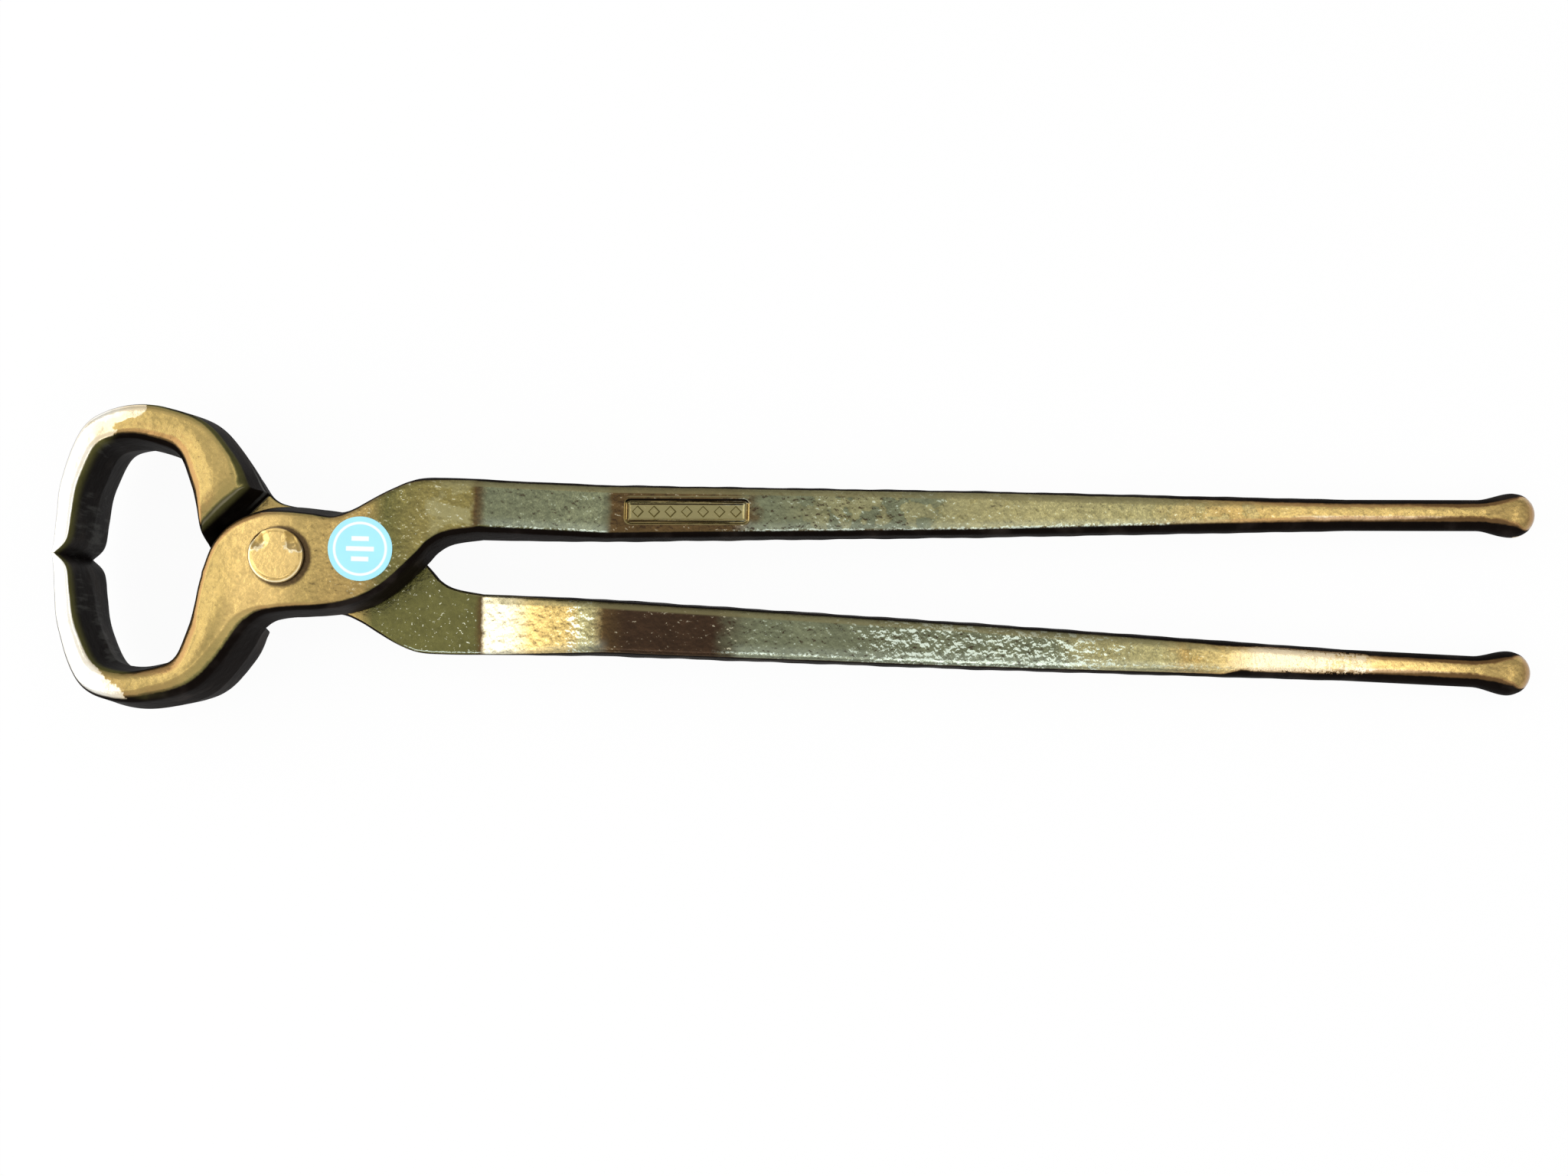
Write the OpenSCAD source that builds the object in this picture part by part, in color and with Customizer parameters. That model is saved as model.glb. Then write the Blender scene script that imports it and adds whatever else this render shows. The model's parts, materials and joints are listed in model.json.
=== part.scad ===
// Farrier's horseshoe puller: two identical drop-forged halves lapped on a rivet.
// Each half is one bar that runs from its gripping edge, round the jaw, through the
// half-thick joint and out along its rein to a knob. Millimetres. The origin is on the
// pivot axis, on the flat of the rivet's tail, and +X runs along the reins.

/* [Jaws] */
// Pivot axis to the outer face of the jaws
jaw_reach = 53.5; // [50:0.1:58]
// Pivot axis to the lowest point of a jaw, half the height of the closed head
jaw_drop = 36.7; // [34:0.1:40]
// Outer face of the jaws to the lowest point of their bend
bend_x = 17.5; // [16:0.1:19]
// Depth of the jaws along the pivot axis
jaw_depth = 28; // [24:0.5:32]
// Height of the straight cheek behind each gripping edge
cheek_h = 18.5; // [15:0.1:21]
// Gap left between the two gripping edges when closed
mouth_gap = 0.3; // [0.2:0.05:1]
// Thickness of the gripping edge
edge_t = 0.8; // [0.6:0.1:1.4]
// Height of the bevel that thins the wall to the gripping edge
edge_bevel = 3.2; // [2.4:0.1:4.5]
// Wall just behind the bevel
lip_t = 4.2; // [3.4:0.1:5]
// Wall at the foot of the straight cheek
cheek_t = 7.2; // [6:0.1:8.2]
// Wall at the bottom of the jaw's bend
bend_t = 10; // [8.6:0.1:11]
// Pivot axis to the heel of the jaw, where it steps down to the joint
heel_x = 6.8; // [6:0.1:7.6]
// How far the heel stands out beyond the joint's edge
heel_rise = 4.4; // [3.8:0.1:5.2]
// Width of the jaw at its heel
heel_w = 18.6; // [17:0.1:20]
// How much the ground lips are shallower than the jaws, on each side
lip_relief = 0.6; // [0.2:0.1:1.2]

/* [Joint] */
// Width of the lapped joint across the pivot
joint_w = 27; // [25:0.1:28.5]
// Pivot axis to the joint's edge on the side of the half's own jaw
joint_low = 13.5; // [12.6:0.1:14.4]
// Diameter of the rivet's shank
rivet_d = 10; // [8:0.1:11]
// Radial clearance of the shank in both bores
rivet_play = 0.05; // [0.02:0.01:0.1]
// Diameter of the rivet's head and of its peened tail
head_d = 13.2; // [12.6:0.1:15]
// Height of the rivet's head and of its tail
head_h = 1.6; // [1.2:0.1:2.4]
// How far the peened head has spread to one side of the shank's axis
head_shift = 0.7; // [0:0.1:1]
// Running gap between the two lap faces, and under each rivet head
lap_gap = 0.1; // [0.06:0.02:0.2]

/* [Reins] */
// Pivot axis to the end of the knobs
rein_reach = 302.1; // [260:0.1:330]
// Centre line of the tool to the centre of a rein, at its root
rein_offset = 13.9; // [13:0.1:15.5]
// Centre line of the tool to the centre of a knob
knob_offset = 19.2; // [16:0.1:24]
// Pivot axis to the start of the bend that brings the rein back to mid-thickness
joggle_x = 47; // [45:0.5:52]
// Length of that bend
joggle_len = 30; // [24:0.5:36]
// Width of the rein at its root
rein_root_w = 14.8; // [13.5:0.1:16]
// Width of the rein past the bend
rein_w = 13.7; // [12:0.1:15]
// Width of the rein halfway along its taper
rein_mid_w = 11.2; // [9.5:0.1:12.5]
// Thickness of the rein past the bend
rein_t = 13; // [11:0.1:14]
// Width of the slender end of the rein
rein_end_w = 7.6; // [6.5:0.1:9]
// Thickness of the slender end of the rein
rein_end_t = 7.4; // [6.5:0.1:9]
// Length of the slender end, knob included
rein_end_len = 46; // [38:0.5:60]
// Diameter of the knobs
knob_d = 10.8; // [9.6:0.1:13]

/* [Stamp and label] */
// Pivot axis to the middle of the stamped panel
panel_x = 96.3; // [94:0.1:110]
// Length of the stamped panel
panel_len = 29.6; // [20:0.1:32]
// Width of the stamped panel
panel_w = 5.8; // [4.6:0.1:6.6]
// Corner radius of the stamped panel
panel_r = 1.2; // [0.8:0.1:2]
// Depth of the stamped panel
panel_depth = 0.6; // [0.3:0.1:1]
// Diameter of the round label
label_d = 15.3; // [12:0.1:16]
// Thickness of the label
label_t = 0.15; // [0.1:0.05:0.3]
// Label centre along the tool, from the pivot axis
label_x = 19.7; // [18.4:0.1:20]
// Label centre above the tool's centre line
label_y = 2.8; // [2:0.1:3.4]

/* [Edges] */
// Rounding of the forged outer edges
edge_r = 1.6; // [1:0.1:2]
// Rounding of the machined lap face's edges
lap_r = 0.8; // [0.5:0.1:1.2]
// Side slope of the forging, as inset for each millimetre of height
draft = 0.1; // [0.05:0.01:0.13]
// The same for the joint's far edge, away from the half's own jaw
joint_draft = 0.17; // [0.1:0.01:0.2]

/* [Hidden] */

half_depth = jaw_depth / 2;
lap_z = half_depth + head_h;
lap_low = lap_gap / 2;
bore_d = rivet_d + 2 * rivet_play;
knob_r = knob_d / 2;
knob_x = rein_reach - knob_r;
joggle_end = joggle_x + joggle_len;
slender_x = rein_reach - rein_end_len;
rein_mid = (joggle_end + slender_x) / 2;

// Rings between two stations, and facets on each rounded edge
steps = 3;
corner_steps = 3;

// Landmarks on the outer edge: foot of the cheek, bottom of the bend, heel of the jaw, root of the rein
foot = [-jaw_reach + 0.4, -cheek_h];
bottom = [-jaw_reach + bend_x, -jaw_drop];
heel = [-heel_x, -joint_low - heel_rise];
root = [joggle_x, rein_offset - rein_root_w / 2];

// Points on the two quarter ellipses that round the jaw, a degrees on from the foot or from the bottom
function front_bend(a) = [bottom.x + (foot.x - bottom.x) * cos(a), foot.y + (bottom.y - foot.y) * sin(a)];
function rear_bend(a) = [bottom.x + (heel.x - bottom.x) * sin(a), heel.y + (bottom.y - heel.y) * cos(a)];

// Stations of a half at its parting plane: a point of the outer edge, the direction across, the width
function at(p, dx, dy, across, w) = [p.x + dx, p.y + dy, across, w];
stations = [
    [-jaw_reach, -mouth_gap / 2, 0, edge_t],
    [-jaw_reach, -edge_bevel, 0, lip_t],
    [-jaw_reach, -(edge_bevel + cheek_h) / 2 + 1, 3, (lip_t + cheek_t) / 2],
    at(foot, 0, 0, 8, cheek_t),
    at(front_bend(40), 0, 0, 46, (cheek_t + bend_t) / 2),
    at(front_bend(63), 0, 0, 71, bend_t - 0.6),
    at(bottom, 0, 0, 87, bend_t),
    at(rear_bend(13), 0, 0, 98, bend_t + 0.6),
    at(rear_bend(27), 0, 0, 113, (2 * bend_t + heel_w) / 3 - 2),
    at(rear_bend(40), 0, 0, 127, (bend_t + heel_w) / 2 - 2.2),
    at(heel, -6, -9.4, 134, (bend_t + heel_w) / 2 + 0.2),
    at(heel, -2.4, -4.3, 141, heel_w - 2.9),
    at(heel, 0, 0, 136, heel_w),
    [-4.8, -joint_low - 2.2, 133, (heel_w + joint_w) / 2 - 2.2],
    [-3, -joint_low - 1, 123, joint_w - 3],
    [-1, -joint_low - 0.4, 113, joint_w - 0.7],
    [1.5, -joint_low, 104, joint_w + 0.2],
    [5, -joint_low + 0.3, 98, joint_w - 0.2],
    [9.5, -joint_low + 0.6, 94.5, joint_w - 1.1],
    [15.5, -joint_low + 1.5, 97, joint_w - 2.4],
    [21.2, -joint_low + 3.5, 100, joint_w - 2.6],
    at(root, -20.4, -12.9, 102, rein_root_w + 8.9),
    at(root, -13.8, -6.6, 107, rein_root_w + 5.9),
    at(root, -10.8, -3.3, 104, rein_root_w + 3.7),
    at(root, -7, -1.2, 98, rein_root_w + 1.5),
    at(root, 0, 0, 90, rein_root_w)
];
bottom_u = 6;
heel_u = 12;
root_u = len(stations) - 1;

// A smooth curve through the stations
function spline(p, u) =
    let (i = min(floor(u), len(p) - 2), t = u - i)
    let (a = p[max(i - 1, 0)], b = p[i], c = p[i + 1], d = p[min(i + 2, len(p) - 1)])
    (2 * b + (c - a) * t + (2 * a - 5 * b + 4 * c - d) * t * t + (3 * b - a - 3 * c + d) * t * t * t) / 2;

// One quarter of a circle in the plane across the bar
function quarter(x, z, r, from) = [
    for (k = [0:corner_steps]) let (a = from + 90 * k / corner_steps) [x + r * cos(a), z + r * sin(a)]
];

// A cross-section: width, underside, top, edge radii below and above, side slopes outside and inside.
// It is widest at the parting plane, which a half of the joint has just above its lap face.
function section(w, low, high, low_r, high_r, outer, inner) =
    let (widest = max(0, low + low_r + 0.4), below = widest - low - low_r, above = high - high_r - widest)
    concat(
        [[0, widest]],
        quarter(outer * below + low_r, low + low_r, low_r, 180),
        quarter(w - inner * below - low_r, low + low_r, low_r, 270),
        [[w, widest]],
        quarter(w - inner * above - high_r, high - high_r, high_r, 0),
        quarter(outer * above + high_r, high - high_r, high_r, 90)
    );
function placed(s, points) = [
    for (p = points) [s[0] + p[0] * cos(s[2]), s[1] + p[0] * sin(s[2]), p[1]]
];

// The head, from gripping edge to rein: at the heel its underside steps up to the lap face
step_round = 1;
step_foot = 2;
function head_low(u) = lookup(u, [
    [0, lip_relief - half_depth], [bottom_u, -half_depth], [heel_u - 1 / steps, -half_depth],
    [heel_u, step_round - half_depth], [heel_u + 1 / steps, -step_foot], [heel_u + 2 / steps, lap_low]
]);
function head_high(u) = lookup(u, [[0, half_depth - lip_relief], [bottom_u, half_depth]]);
function lip_r(u) = lookup(u, [[0, 0.25], [1, 0.8], [4, edge_r]]);
function head_low_r(u) = lookup(u, [[0, lip_r(u)], [heel_u - 1, lip_r(u)], [heel_u, lap_r]]);
function outer_draft(u) = lookup(u, [[0, 0], [3, draft]]);
function inner_draft(u) = lookup(u, [
    [0, 0], [3, draft], [heel_u - 4, draft], [heel_u, joint_draft], [root_u - 3, joint_draft], [root_u, draft]
]);
function head_ring(u) =
    let (s = spline(stations, u))
    placed(s, section(
        s[3], head_low(u), head_high(u), head_low_r(u), lip_r(u), outer_draft(u), inner_draft(u)
    ));
head_rings = [for (i = [0:root_u * steps - 1]) head_ring(i / steps)];

// The rein: its centre, width and thickness follow straight lines from the root to the slender end
function rein_y(x) = lookup(x, [[joggle_end, rein_offset], [knob_x, knob_offset]]);
function rein_width(x) = lookup(x, [
    [joggle_x, rein_root_w], [joggle_end, rein_w], [rein_mid, rein_mid_w], [slender_x, rein_end_w]
]);
function rein_thick(x) = lookup(x, [[joggle_end, rein_t], [slender_x, rein_end_t]]);
function rein_r(x) = lookup(x, [[joggle_end, edge_r], [rein_mid, edge_r], [slender_x, rein_end_t / 2 - 0.3]]);
function rein_ring(x, w, t, r) =
    let (rise = lookup(x, [[joggle_x, 1], [joggle_end, 0]]), fall = 1 - rise)
    let (low = lap_low * rise - t / 2 * fall, high = half_depth * rise + t / 2 * fall)
    placed([x, rein_y(x) - w / 2, 90], section(w, low, high, lap_r * rise + r * fall, r, draft, draft));
rein_xs = concat(
    [for (k = [0:3]) joggle_x + joggle_len * k / 3],
    [for (k = [1:6]) joggle_end + (slender_x - joggle_end) * k / 6]
);
rein_rings = [for (x = rein_xs) rein_ring(x, rein_width(x), rein_thick(x), rein_r(x))];

// The knob: the slender end flares into a ball, which a small flat closes
neck_x = knob_x - 1.6 * knob_r;
function knob_size(x, end) = lookup(x, [
    [neck_x, end], [neck_x + 0.35 * knob_r, end + 0.12 * (knob_d - end)],
    [knob_x - 0.55 * knob_r, 0.93 * knob_d], [knob_x, knob_d]
]);
function round_ring(x, w, t) = rein_ring(x, w, t, min(w, t) / 2 - 0.25);
knob_rings = concat(
    [for (k = [0:4]) let (x = neck_x + (knob_x - neck_x) * k / 4)
        round_ring(x, knob_size(x, rein_end_w), knob_size(x, rein_end_t))],
    [for (a = [22, 42, 58, 71, 80]) let (d = knob_d * cos(a)) round_ring(knob_x + knob_r * sin(a), d, d)]
);

// A closed skin over a list of rings that have the same number of points
module skin(rings) {
    n = len(rings[0]);
    last = len(rings) - 1;
    sides = [for (i = [0:last - 1], j = [0:n - 1])
        let (k = (j + 1) % n)
        each [[i * n + j, (i + 1) * n + k, i * n + k], [i * n + j, (i + 1) * n + j, (i + 1) * n + k]]
    ];
    near_end = [for (j = [1:n - 2]) [0, j, j + 1]];
    far_end = [for (j = [1:n - 2]) [last * n, last * n + j + 1, last * n + j]];
    polyhedron(points = [for (r = rings) each r], faces = concat(sides, near_end, far_end));
}

// The bare, round-cornered panel sunk into the rein's outer face
module stamp_panel() {
    top = rein_thick(panel_x + panel_len / 2) / 2;
    translate([panel_x, rein_y(panel_x), top - panel_depth])
        linear_extrude(half_depth) {
            square([panel_len, panel_w - 2 * panel_r], center = true);
            square([panel_len - 2 * panel_r, panel_w], center = true);
            for (sx = [-1, 1], sy = [-1, 1])
                translate([sx * (panel_len / 2 - panel_r), sy * (panel_w / 2 - panel_r)])
                    circle(r = panel_r, $fn = 48);
        }
}

// One forged and bored half about the lap plane: jaw below, rein above, outer face up
module forged_half() {
    difference() {
        skin(concat(head_rings, rein_rings, knob_rings));
        translate([0, 0, -half_depth])
            cylinder(d = bore_d, h = jaw_depth + 1, $fn = 96);
    }
}

// Only the front half is stamped
module front_half() {
    color("darkgoldenrod")
        translate([0, 0, lap_z])
            difference() {
                forged_half();
                stamp_panel();
            }
}

module back_half() {
    color("olive")
        translate([0, 0, lap_z])
            rotate([180, 0, 0])
                forged_half();
}

// One end of the rivet, flat side down: chamfered rim, slight crown, flat top
module rivet_end() {
    h = head_h - lap_gap;
    r = head_d / 2;
    rim = 0.25;
    crown = 1.2;
    rotate_extrude($fn = 96)
        polygon([
            [0, 0], [r - rim, 0], [r, rim], [r, h - 1.8 * rim],
            [r - crown / 3, h - rim / 2], [r - crown, h], [0, h]
        ]);
}

// The rivet: shank through both halves, a head in front and a tail behind, each a running gap off its half
module rivet() {
    color("goldenrod") {
        translate([0, 0, head_h - lap_gap])
            cylinder(d = rivet_d, h = jaw_depth + 2 * lap_gap, $fn = 96);
        translate([0, 0, head_h - lap_gap])
            mirror([0, 0, 1])
                rivet_end();
        translate([0, head_shift, head_h + jaw_depth + lap_gap])
            rivet_end();
    }
}

module label() {
    color("lightblue")
        translate([label_x, label_y, lap_z + half_depth])
            cylinder(d = label_d, h = label_t, $fn = 96);
}

back_half();
front_half();
rivet();
label();
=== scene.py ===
"""Looks of the horseshoe puller: both forged halves, the peened rivet and the round label."""

import json
from math import cos, pi, radians, sin
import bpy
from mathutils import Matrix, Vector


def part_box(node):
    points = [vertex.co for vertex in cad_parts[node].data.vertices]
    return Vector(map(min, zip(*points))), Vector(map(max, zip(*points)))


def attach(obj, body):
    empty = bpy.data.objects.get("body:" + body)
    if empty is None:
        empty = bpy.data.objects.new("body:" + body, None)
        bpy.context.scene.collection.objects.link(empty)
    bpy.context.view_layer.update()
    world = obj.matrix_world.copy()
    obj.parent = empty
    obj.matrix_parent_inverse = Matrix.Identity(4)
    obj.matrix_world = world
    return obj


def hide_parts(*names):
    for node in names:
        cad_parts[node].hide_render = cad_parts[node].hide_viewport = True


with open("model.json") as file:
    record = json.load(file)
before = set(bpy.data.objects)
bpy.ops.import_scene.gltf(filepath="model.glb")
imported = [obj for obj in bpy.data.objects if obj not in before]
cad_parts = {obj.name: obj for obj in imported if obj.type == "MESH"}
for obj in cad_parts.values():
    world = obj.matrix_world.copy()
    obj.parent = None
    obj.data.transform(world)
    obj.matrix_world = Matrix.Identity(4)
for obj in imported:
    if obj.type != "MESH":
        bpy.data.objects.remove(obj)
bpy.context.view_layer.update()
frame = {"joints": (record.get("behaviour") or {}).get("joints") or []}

from types import SimpleNamespace

import bmesh
import bpy
import numpy as np
from bpy.props import FloatProperty, FloatVectorProperty, IntProperty, PointerProperty
from mathutils import Vector

bl_info = {
    "name": "Horseshoe puller",
    "version": (1, 0, 0),
    "blender": (4, 5, 0),
    "location": "View3D > Sidebar > Puller",
    "description": "Builds the forged halves, the rivet, the label and the studio",
    "category": "Object",
}

MM = 0.001
FRONT_LOW, FRONT_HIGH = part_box("front_half")
RIVET_LOW, RIVET_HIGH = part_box("rivet")
LABEL_LOW, LABEL_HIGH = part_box("label")
PIVOT = Vector(frame["joints"][0]["pos_m"])

# The label's middle and radius, in millimetres.
LABEL_X, LABEL_Y = ((low + high) / 2 / MM for low, high in zip(LABEL_LOW.xy, LABEL_HIGH.xy))
LABEL_R = (LABEL_HIGH.x - LABEL_LOW.x) / 2 / MM

# How many points each part of a forging's section has, and each ring of the rivet and the label.
CORNER_POINTS = 6
WALL_POINTS = 6
TOP_POINTS = 44
UNDER_POINTS = 16
BORE_POINTS = 96
RIVET_POINTS = 120
LABEL_POINTS = 144

# Sections from one station of the head to the next, and the stations of the bend's bottom and the heel.
STEPS = 12
BOTTOM_U = 6
HEEL_U = 12

# Millimetres along the rein from section to section, in general and at the panel.
REIN_STEP = 0.8
PANEL_STEP = 0.3

# The step from the jaw's underside up to the lap face, as (stations past the heel, millimetres up).
LAP_STEP = (
    (-0.9, 0), (-0.6, 0.12), (-0.35, 0.45), (-0.15, 1.1), (0.05, 2.4), (0.2, 6), (0.34, 11.4), (0.48, 13.1),
)
LAP_FROM = 2 / 3

# In millimetres: how wide a face has its full crown, the lozenges' margin at the panel's ends, and how
# deep they sit in its floor.
CROWN_WIDTH = 5.0
LOZENGE_MARGIN = 3.0
LOZENGE_SINK = 0.12

# Hammer marks as (x, y, size) shares of the head and of the mark, and lacquer pools in metres.
HAMMER_MARKS = ((-0.6, 0.56, 1.0), (0.5, 0.6, 0.9))
LACQUER_POOLS = ((-0.0042, 0.0031, 0.0014), (0.0038, 0.0032, 0.0021))

# How fast half a rein's width shrinks towards the knob, for its finish.
HALF_TAPER = 0.0155

# In metres: the print's soft edge, and how far the floor lies under the rivet's tail.
PRINT_BLUR = 0.00012
FLOOR_GAP = 0.00015

# The angle past which an edge is shaded as an edge, and the photograph's width in pixels.
SHARP_ANGLE = radians(38)
PHOTO_WIDTH = 2048


def number(name, default, text, **more):
    """A number, as a property."""
    return FloatProperty(name=name, description=text, default=default, **more)


def length(name, default, text):
    """A length in metres, as a property."""
    return number(name, default, text, unit="LENGTH", precision=5)


def colour(name, default, text):
    """A linear colour, as a property."""
    return FloatVectorProperty(name=name, description=text, default=default, subtype="COLOR", min=0, max=1)


class PullerForging(bpy.types.PropertyGroup):
    """Sizes of one forged half. They are the frame's, except that the gripping edges nearly touch."""

    reach: length("Jaw reach", 0.0535, "Pivot axis to the outer face of the jaws")
    drop: length("Jaw drop", 0.0367, "Pivot axis to the lowest point of the jaw's bend")
    bend: length("Bend place", 0.0175, "Outer face of the jaws to the lowest point of their bend")
    depth: length("Jaw depth", 0.028, "Depth of the jaws along the pivot axis")
    cheek: length("Cheek height", 0.0185, "Height of the straight cheek behind the gripping edge")
    gap: length("Mouth gap", 0.00006, "Gap between the two gripping edges")
    edge: length("Gripping edge", 0.0008, "Thickness of the gripping edge")
    bevel: length("Edge bevel", 0.0032, "Height of the bevel behind the gripping edge")
    lip: length("Lip wall", 0.0042, "Wall just behind the bevel")
    cheek_wall: length("Cheek wall", 0.0072, "Wall at the foot of the cheek")
    bend_wall: length("Bend wall", 0.01, "Wall at the bottom of the bend")
    heel_x: length("Heel place", 0.0068, "Pivot axis to the heel of the jaw")
    heel_rise: length("Heel rise", 0.0044, "How far the heel stands out beyond the joint's edge")
    heel_wall: length("Heel width", 0.0186, "Width of the jaw at its heel")
    relief: length("Lip relief", 0.0006, "How much the ground lips are shallower than the jaws")
    joint: length("Joint width", 0.027, "Width of the lapped joint across the pivot")
    joint_low: length("Joint edge", 0.0135, "Pivot axis to the joint's edge beside its own jaw")
    lap_gap: length("Lap gap", 0.0001, "Running gap between the lap faces")
    bore: length("Bore", 0.0101, "Diameter of the pivot bore")
    knob_end: length("Rein reach", FRONT_HIGH.x + 0.0001, "Pivot axis to the end of the knobs")
    rein_offset: length("Rein offset", 0.0139, "Centre line of the tool to the root of a rein")
    knob_offset: length("Knob offset", 0.0192, "Centre line of the tool to a knob")
    joggle: length("Joggle start", 0.047, "Pivot axis to the bend back to mid-thickness")
    joggle_run: length("Joggle length", 0.03, "Length of that bend")
    root_width: length("Root width", 0.0148, "Width of the rein at its root")
    rein_width: length("Rein width", 0.0137, "Width of the rein past the joggle")
    mid_width: length("Mid width", 0.0112, "Width of the rein halfway along its taper")
    end_width: length("End width", 0.0076, "Width of the rein's slender end")
    thick: length("Rein thickness", 0.013, "Thickness of the rein past the joggle")
    end_thick: length("End thickness", 0.0074, "Thickness of the rein's slender end")
    end_run: length("End length", 0.046, "Length of the slender end, knob included")
    knob: length("Knob", 0.0108, "Diameter of the knobs")
    edge_r: length("Edge rounding", 0.0016, "Rounding of the forged outer edges")
    lap_r: length("Lap rounding", 0.0008, "Rounding of the lap face's edges")
    crown: length("Crown", 0.0002, "How much a broad face falls away towards its edges")
    flash: length("Flash", 0.0001, "Height of the trimmed flash along the parting line")
    draft: number("Draft", 0.1, "Side slope of the forging")
    joint_draft: number("Joint draft", 0.17, "Side slope of the joint's far edge")


class PullerStamp(bpy.types.PropertyGroup):
    """Sizes of the sunk panel on the front half's rein."""

    place: length("Place", 0.0963, "Pivot axis to the middle of the panel")
    run: length("Length", 0.0296, "Length of the panel")
    width: length("Width", 0.0058, "Width of the panel")
    corner: length("Corner", 0.0012, "Corner radius of the panel")
    depth: length("Depth", 0.0006, "Depth of the panel")
    rim: length("Rim height", 0.0003, "Height of the raised line round the panel's floor")
    studs: IntProperty(name="Lozenges", description="Raised lozenges in the panel", default=7, min=1, max=12)
    stud_long: length("Lozenge length", 0.0031, "Length of a lozenge along the rein")
    stud_wide: length("Lozenge width", 0.0031, "Width of a lozenge across the rein")
    stud_high: length("Lozenge height", 0.00042, "Height of a lozenge above the floor")


class PullerSurface(bpy.types.PropertyGroup):
    """The forged skin's unevenness."""

    swell: length("Swell", 0.00011, "Height of the slow waves left by the dies")
    swell_size: length("Swell size", 0.011, "Distance between the slow waves")
    peel: length("Peel", 0.00005, "Height of the lacquer's orange peel in the mesh")
    peel_size: length("Peel size", 0.0022, "Distance between the dimples of the orange peel")
    seed: IntProperty(name="Seed", description="Which pattern of waves", default=4)


class PullerRivet(bpy.types.PropertyGroup):
    """Sizes of the rivet and of the hammer marks on its head."""

    shank: length("Shank", 0.01, "Diameter of the shank")
    head: length("Head", RIVET_HIGH.x - RIVET_LOW.x, "Diameter of the head and of the tail")
    head_high: length("Head height", 0.0015, "Height of the head above the front half")
    shift: length("Head shift", 0.0007, "How far the head has spread to one side")
    rim: length("Rim", 0.00025, "Chamfer under the rim")
    crown: length("Crown", 0.0012, "Width of the slope round the flat of the head")
    mark_depth: length("Mark depth", 0.0005, "Depth of the hammer marks")
    mark_size: length("Mark size", 0.0019, "Radius of the hammer marks")


class PullerLabel(bpy.types.PropertyGroup):
    """Sizes of the plain print on the round label."""

    ring: length("Ring radius", 0.0061, "Radius of the white ring's middle line")
    ring_line: length("Ring line", 0.0006, "Width of the white ring")
    bar: length("Bar length", 0.0066, "Length of the middle white bar")
    bar_line: length("Bar line", 0.0011, "Width of each white bar")
    bar_pitch: length("Bar pitch", 0.0024, "Distance between the white bars")


class PullerFinish(bpy.types.PropertyGroup):
    """Colours of the lacquered steel and of the label."""

    # Painted highlight: the white jaw ends and the back rein's white length stand for reflected lamps.
    polished: colour("Polished", (1.0, 0.98, 0.9), "Ground and polished jaw ends")
    # Painted highlight, also in the zones on the back joggle, the sparkles, the rivet's edges and the heel's
    # ridge.
    cream_highlight: colour("Cream", (0.92, 0.83, 0.58), "Ground flats that face the light")
    ochre: colour("Ochre", (0.3, 0.19, 0.045), "Lacquer pooled in the rivet's dents")
    # The rivet's own colour, and painted reflection where the zones and the edge of the painted white jaw end
    # use it.
    pale: colour("Pale gold", (0.77, 0.54, 0.2), "Brightest lacquer")
    tan: colour("Tan gold", (0.5, 0.36, 0.125), "Satin lacquer of the jaws and the joint")
    dull: colour("Dull gold", (0.42, 0.29, 0.1), "Lacquer over darker steel")
    olive: colour("Olive", (0.26, 0.215, 0.07), "Olive lacquer")
    moss: colour("Moss", (0.14, 0.132, 0.042), "Thick olive lacquer")
    straw: colour("Straw", (0.35, 0.315, 0.145), "Thin olive lacquer")
    slate: colour("Grey green", (0.16, 0.172, 0.1), "Grey green lacquer")
    # Painted dark reflection in the zones and painted shade where roundings fall off, not a heat tint.
    brown: colour("Brown", (0.1, 0.06, 0.022), "Brown heat tint")
    # Painted warm reflection on rounded edges, painted shade on the knob's +x side and along the slender
    # ends' roundings.
    painted_warm_edge: colour("Rust", (0.36, 0.2, 0.075), "Warm tint along the inner edges")
    # Painted dark reflection in the zones, painted shade in the dents, round the rivet and its rim, and the
    # colour of dark specks.
    umber_and_shade: colour("Dark brown", (0.045, 0.024, 0.012), "Darkest heat tint")
    # Painted reflection along the upper roundings of the reins.
    painted_upper_band: colour("Band", (0.21, 0.185, 0.085), "Matt lacquer along the upper edges")
    # Painted highlight: sparkles, a shine on -y edges and a line along them.
    glint: colour("Glint", (0.75, 0.85, 0.72), "Bright points and edges of the lacquer")
    # The black sides are forge scale and also painted dark reflection.
    scale: colour("Scale", (0.006, 0.0038, 0.0028), "Black forge scale on the sides")
    smoke: colour("Smoke", (0.03, 0.023, 0.019), "Thinner scale")
    # Painted grey reflection streaks on the jaws' inner walls and a painted highlight line at the heel's
    # foot.
    painted_grey_streak: colour("Ash", (0.13, 0.13, 0.12), "Streaks where the scale was rubbed")
    blue: colour("Blue", (0.4, 0.84, 1.0), "Label film")
    print: colour("Print", (0.93, 0.95, 0.96), "Label print")


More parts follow.
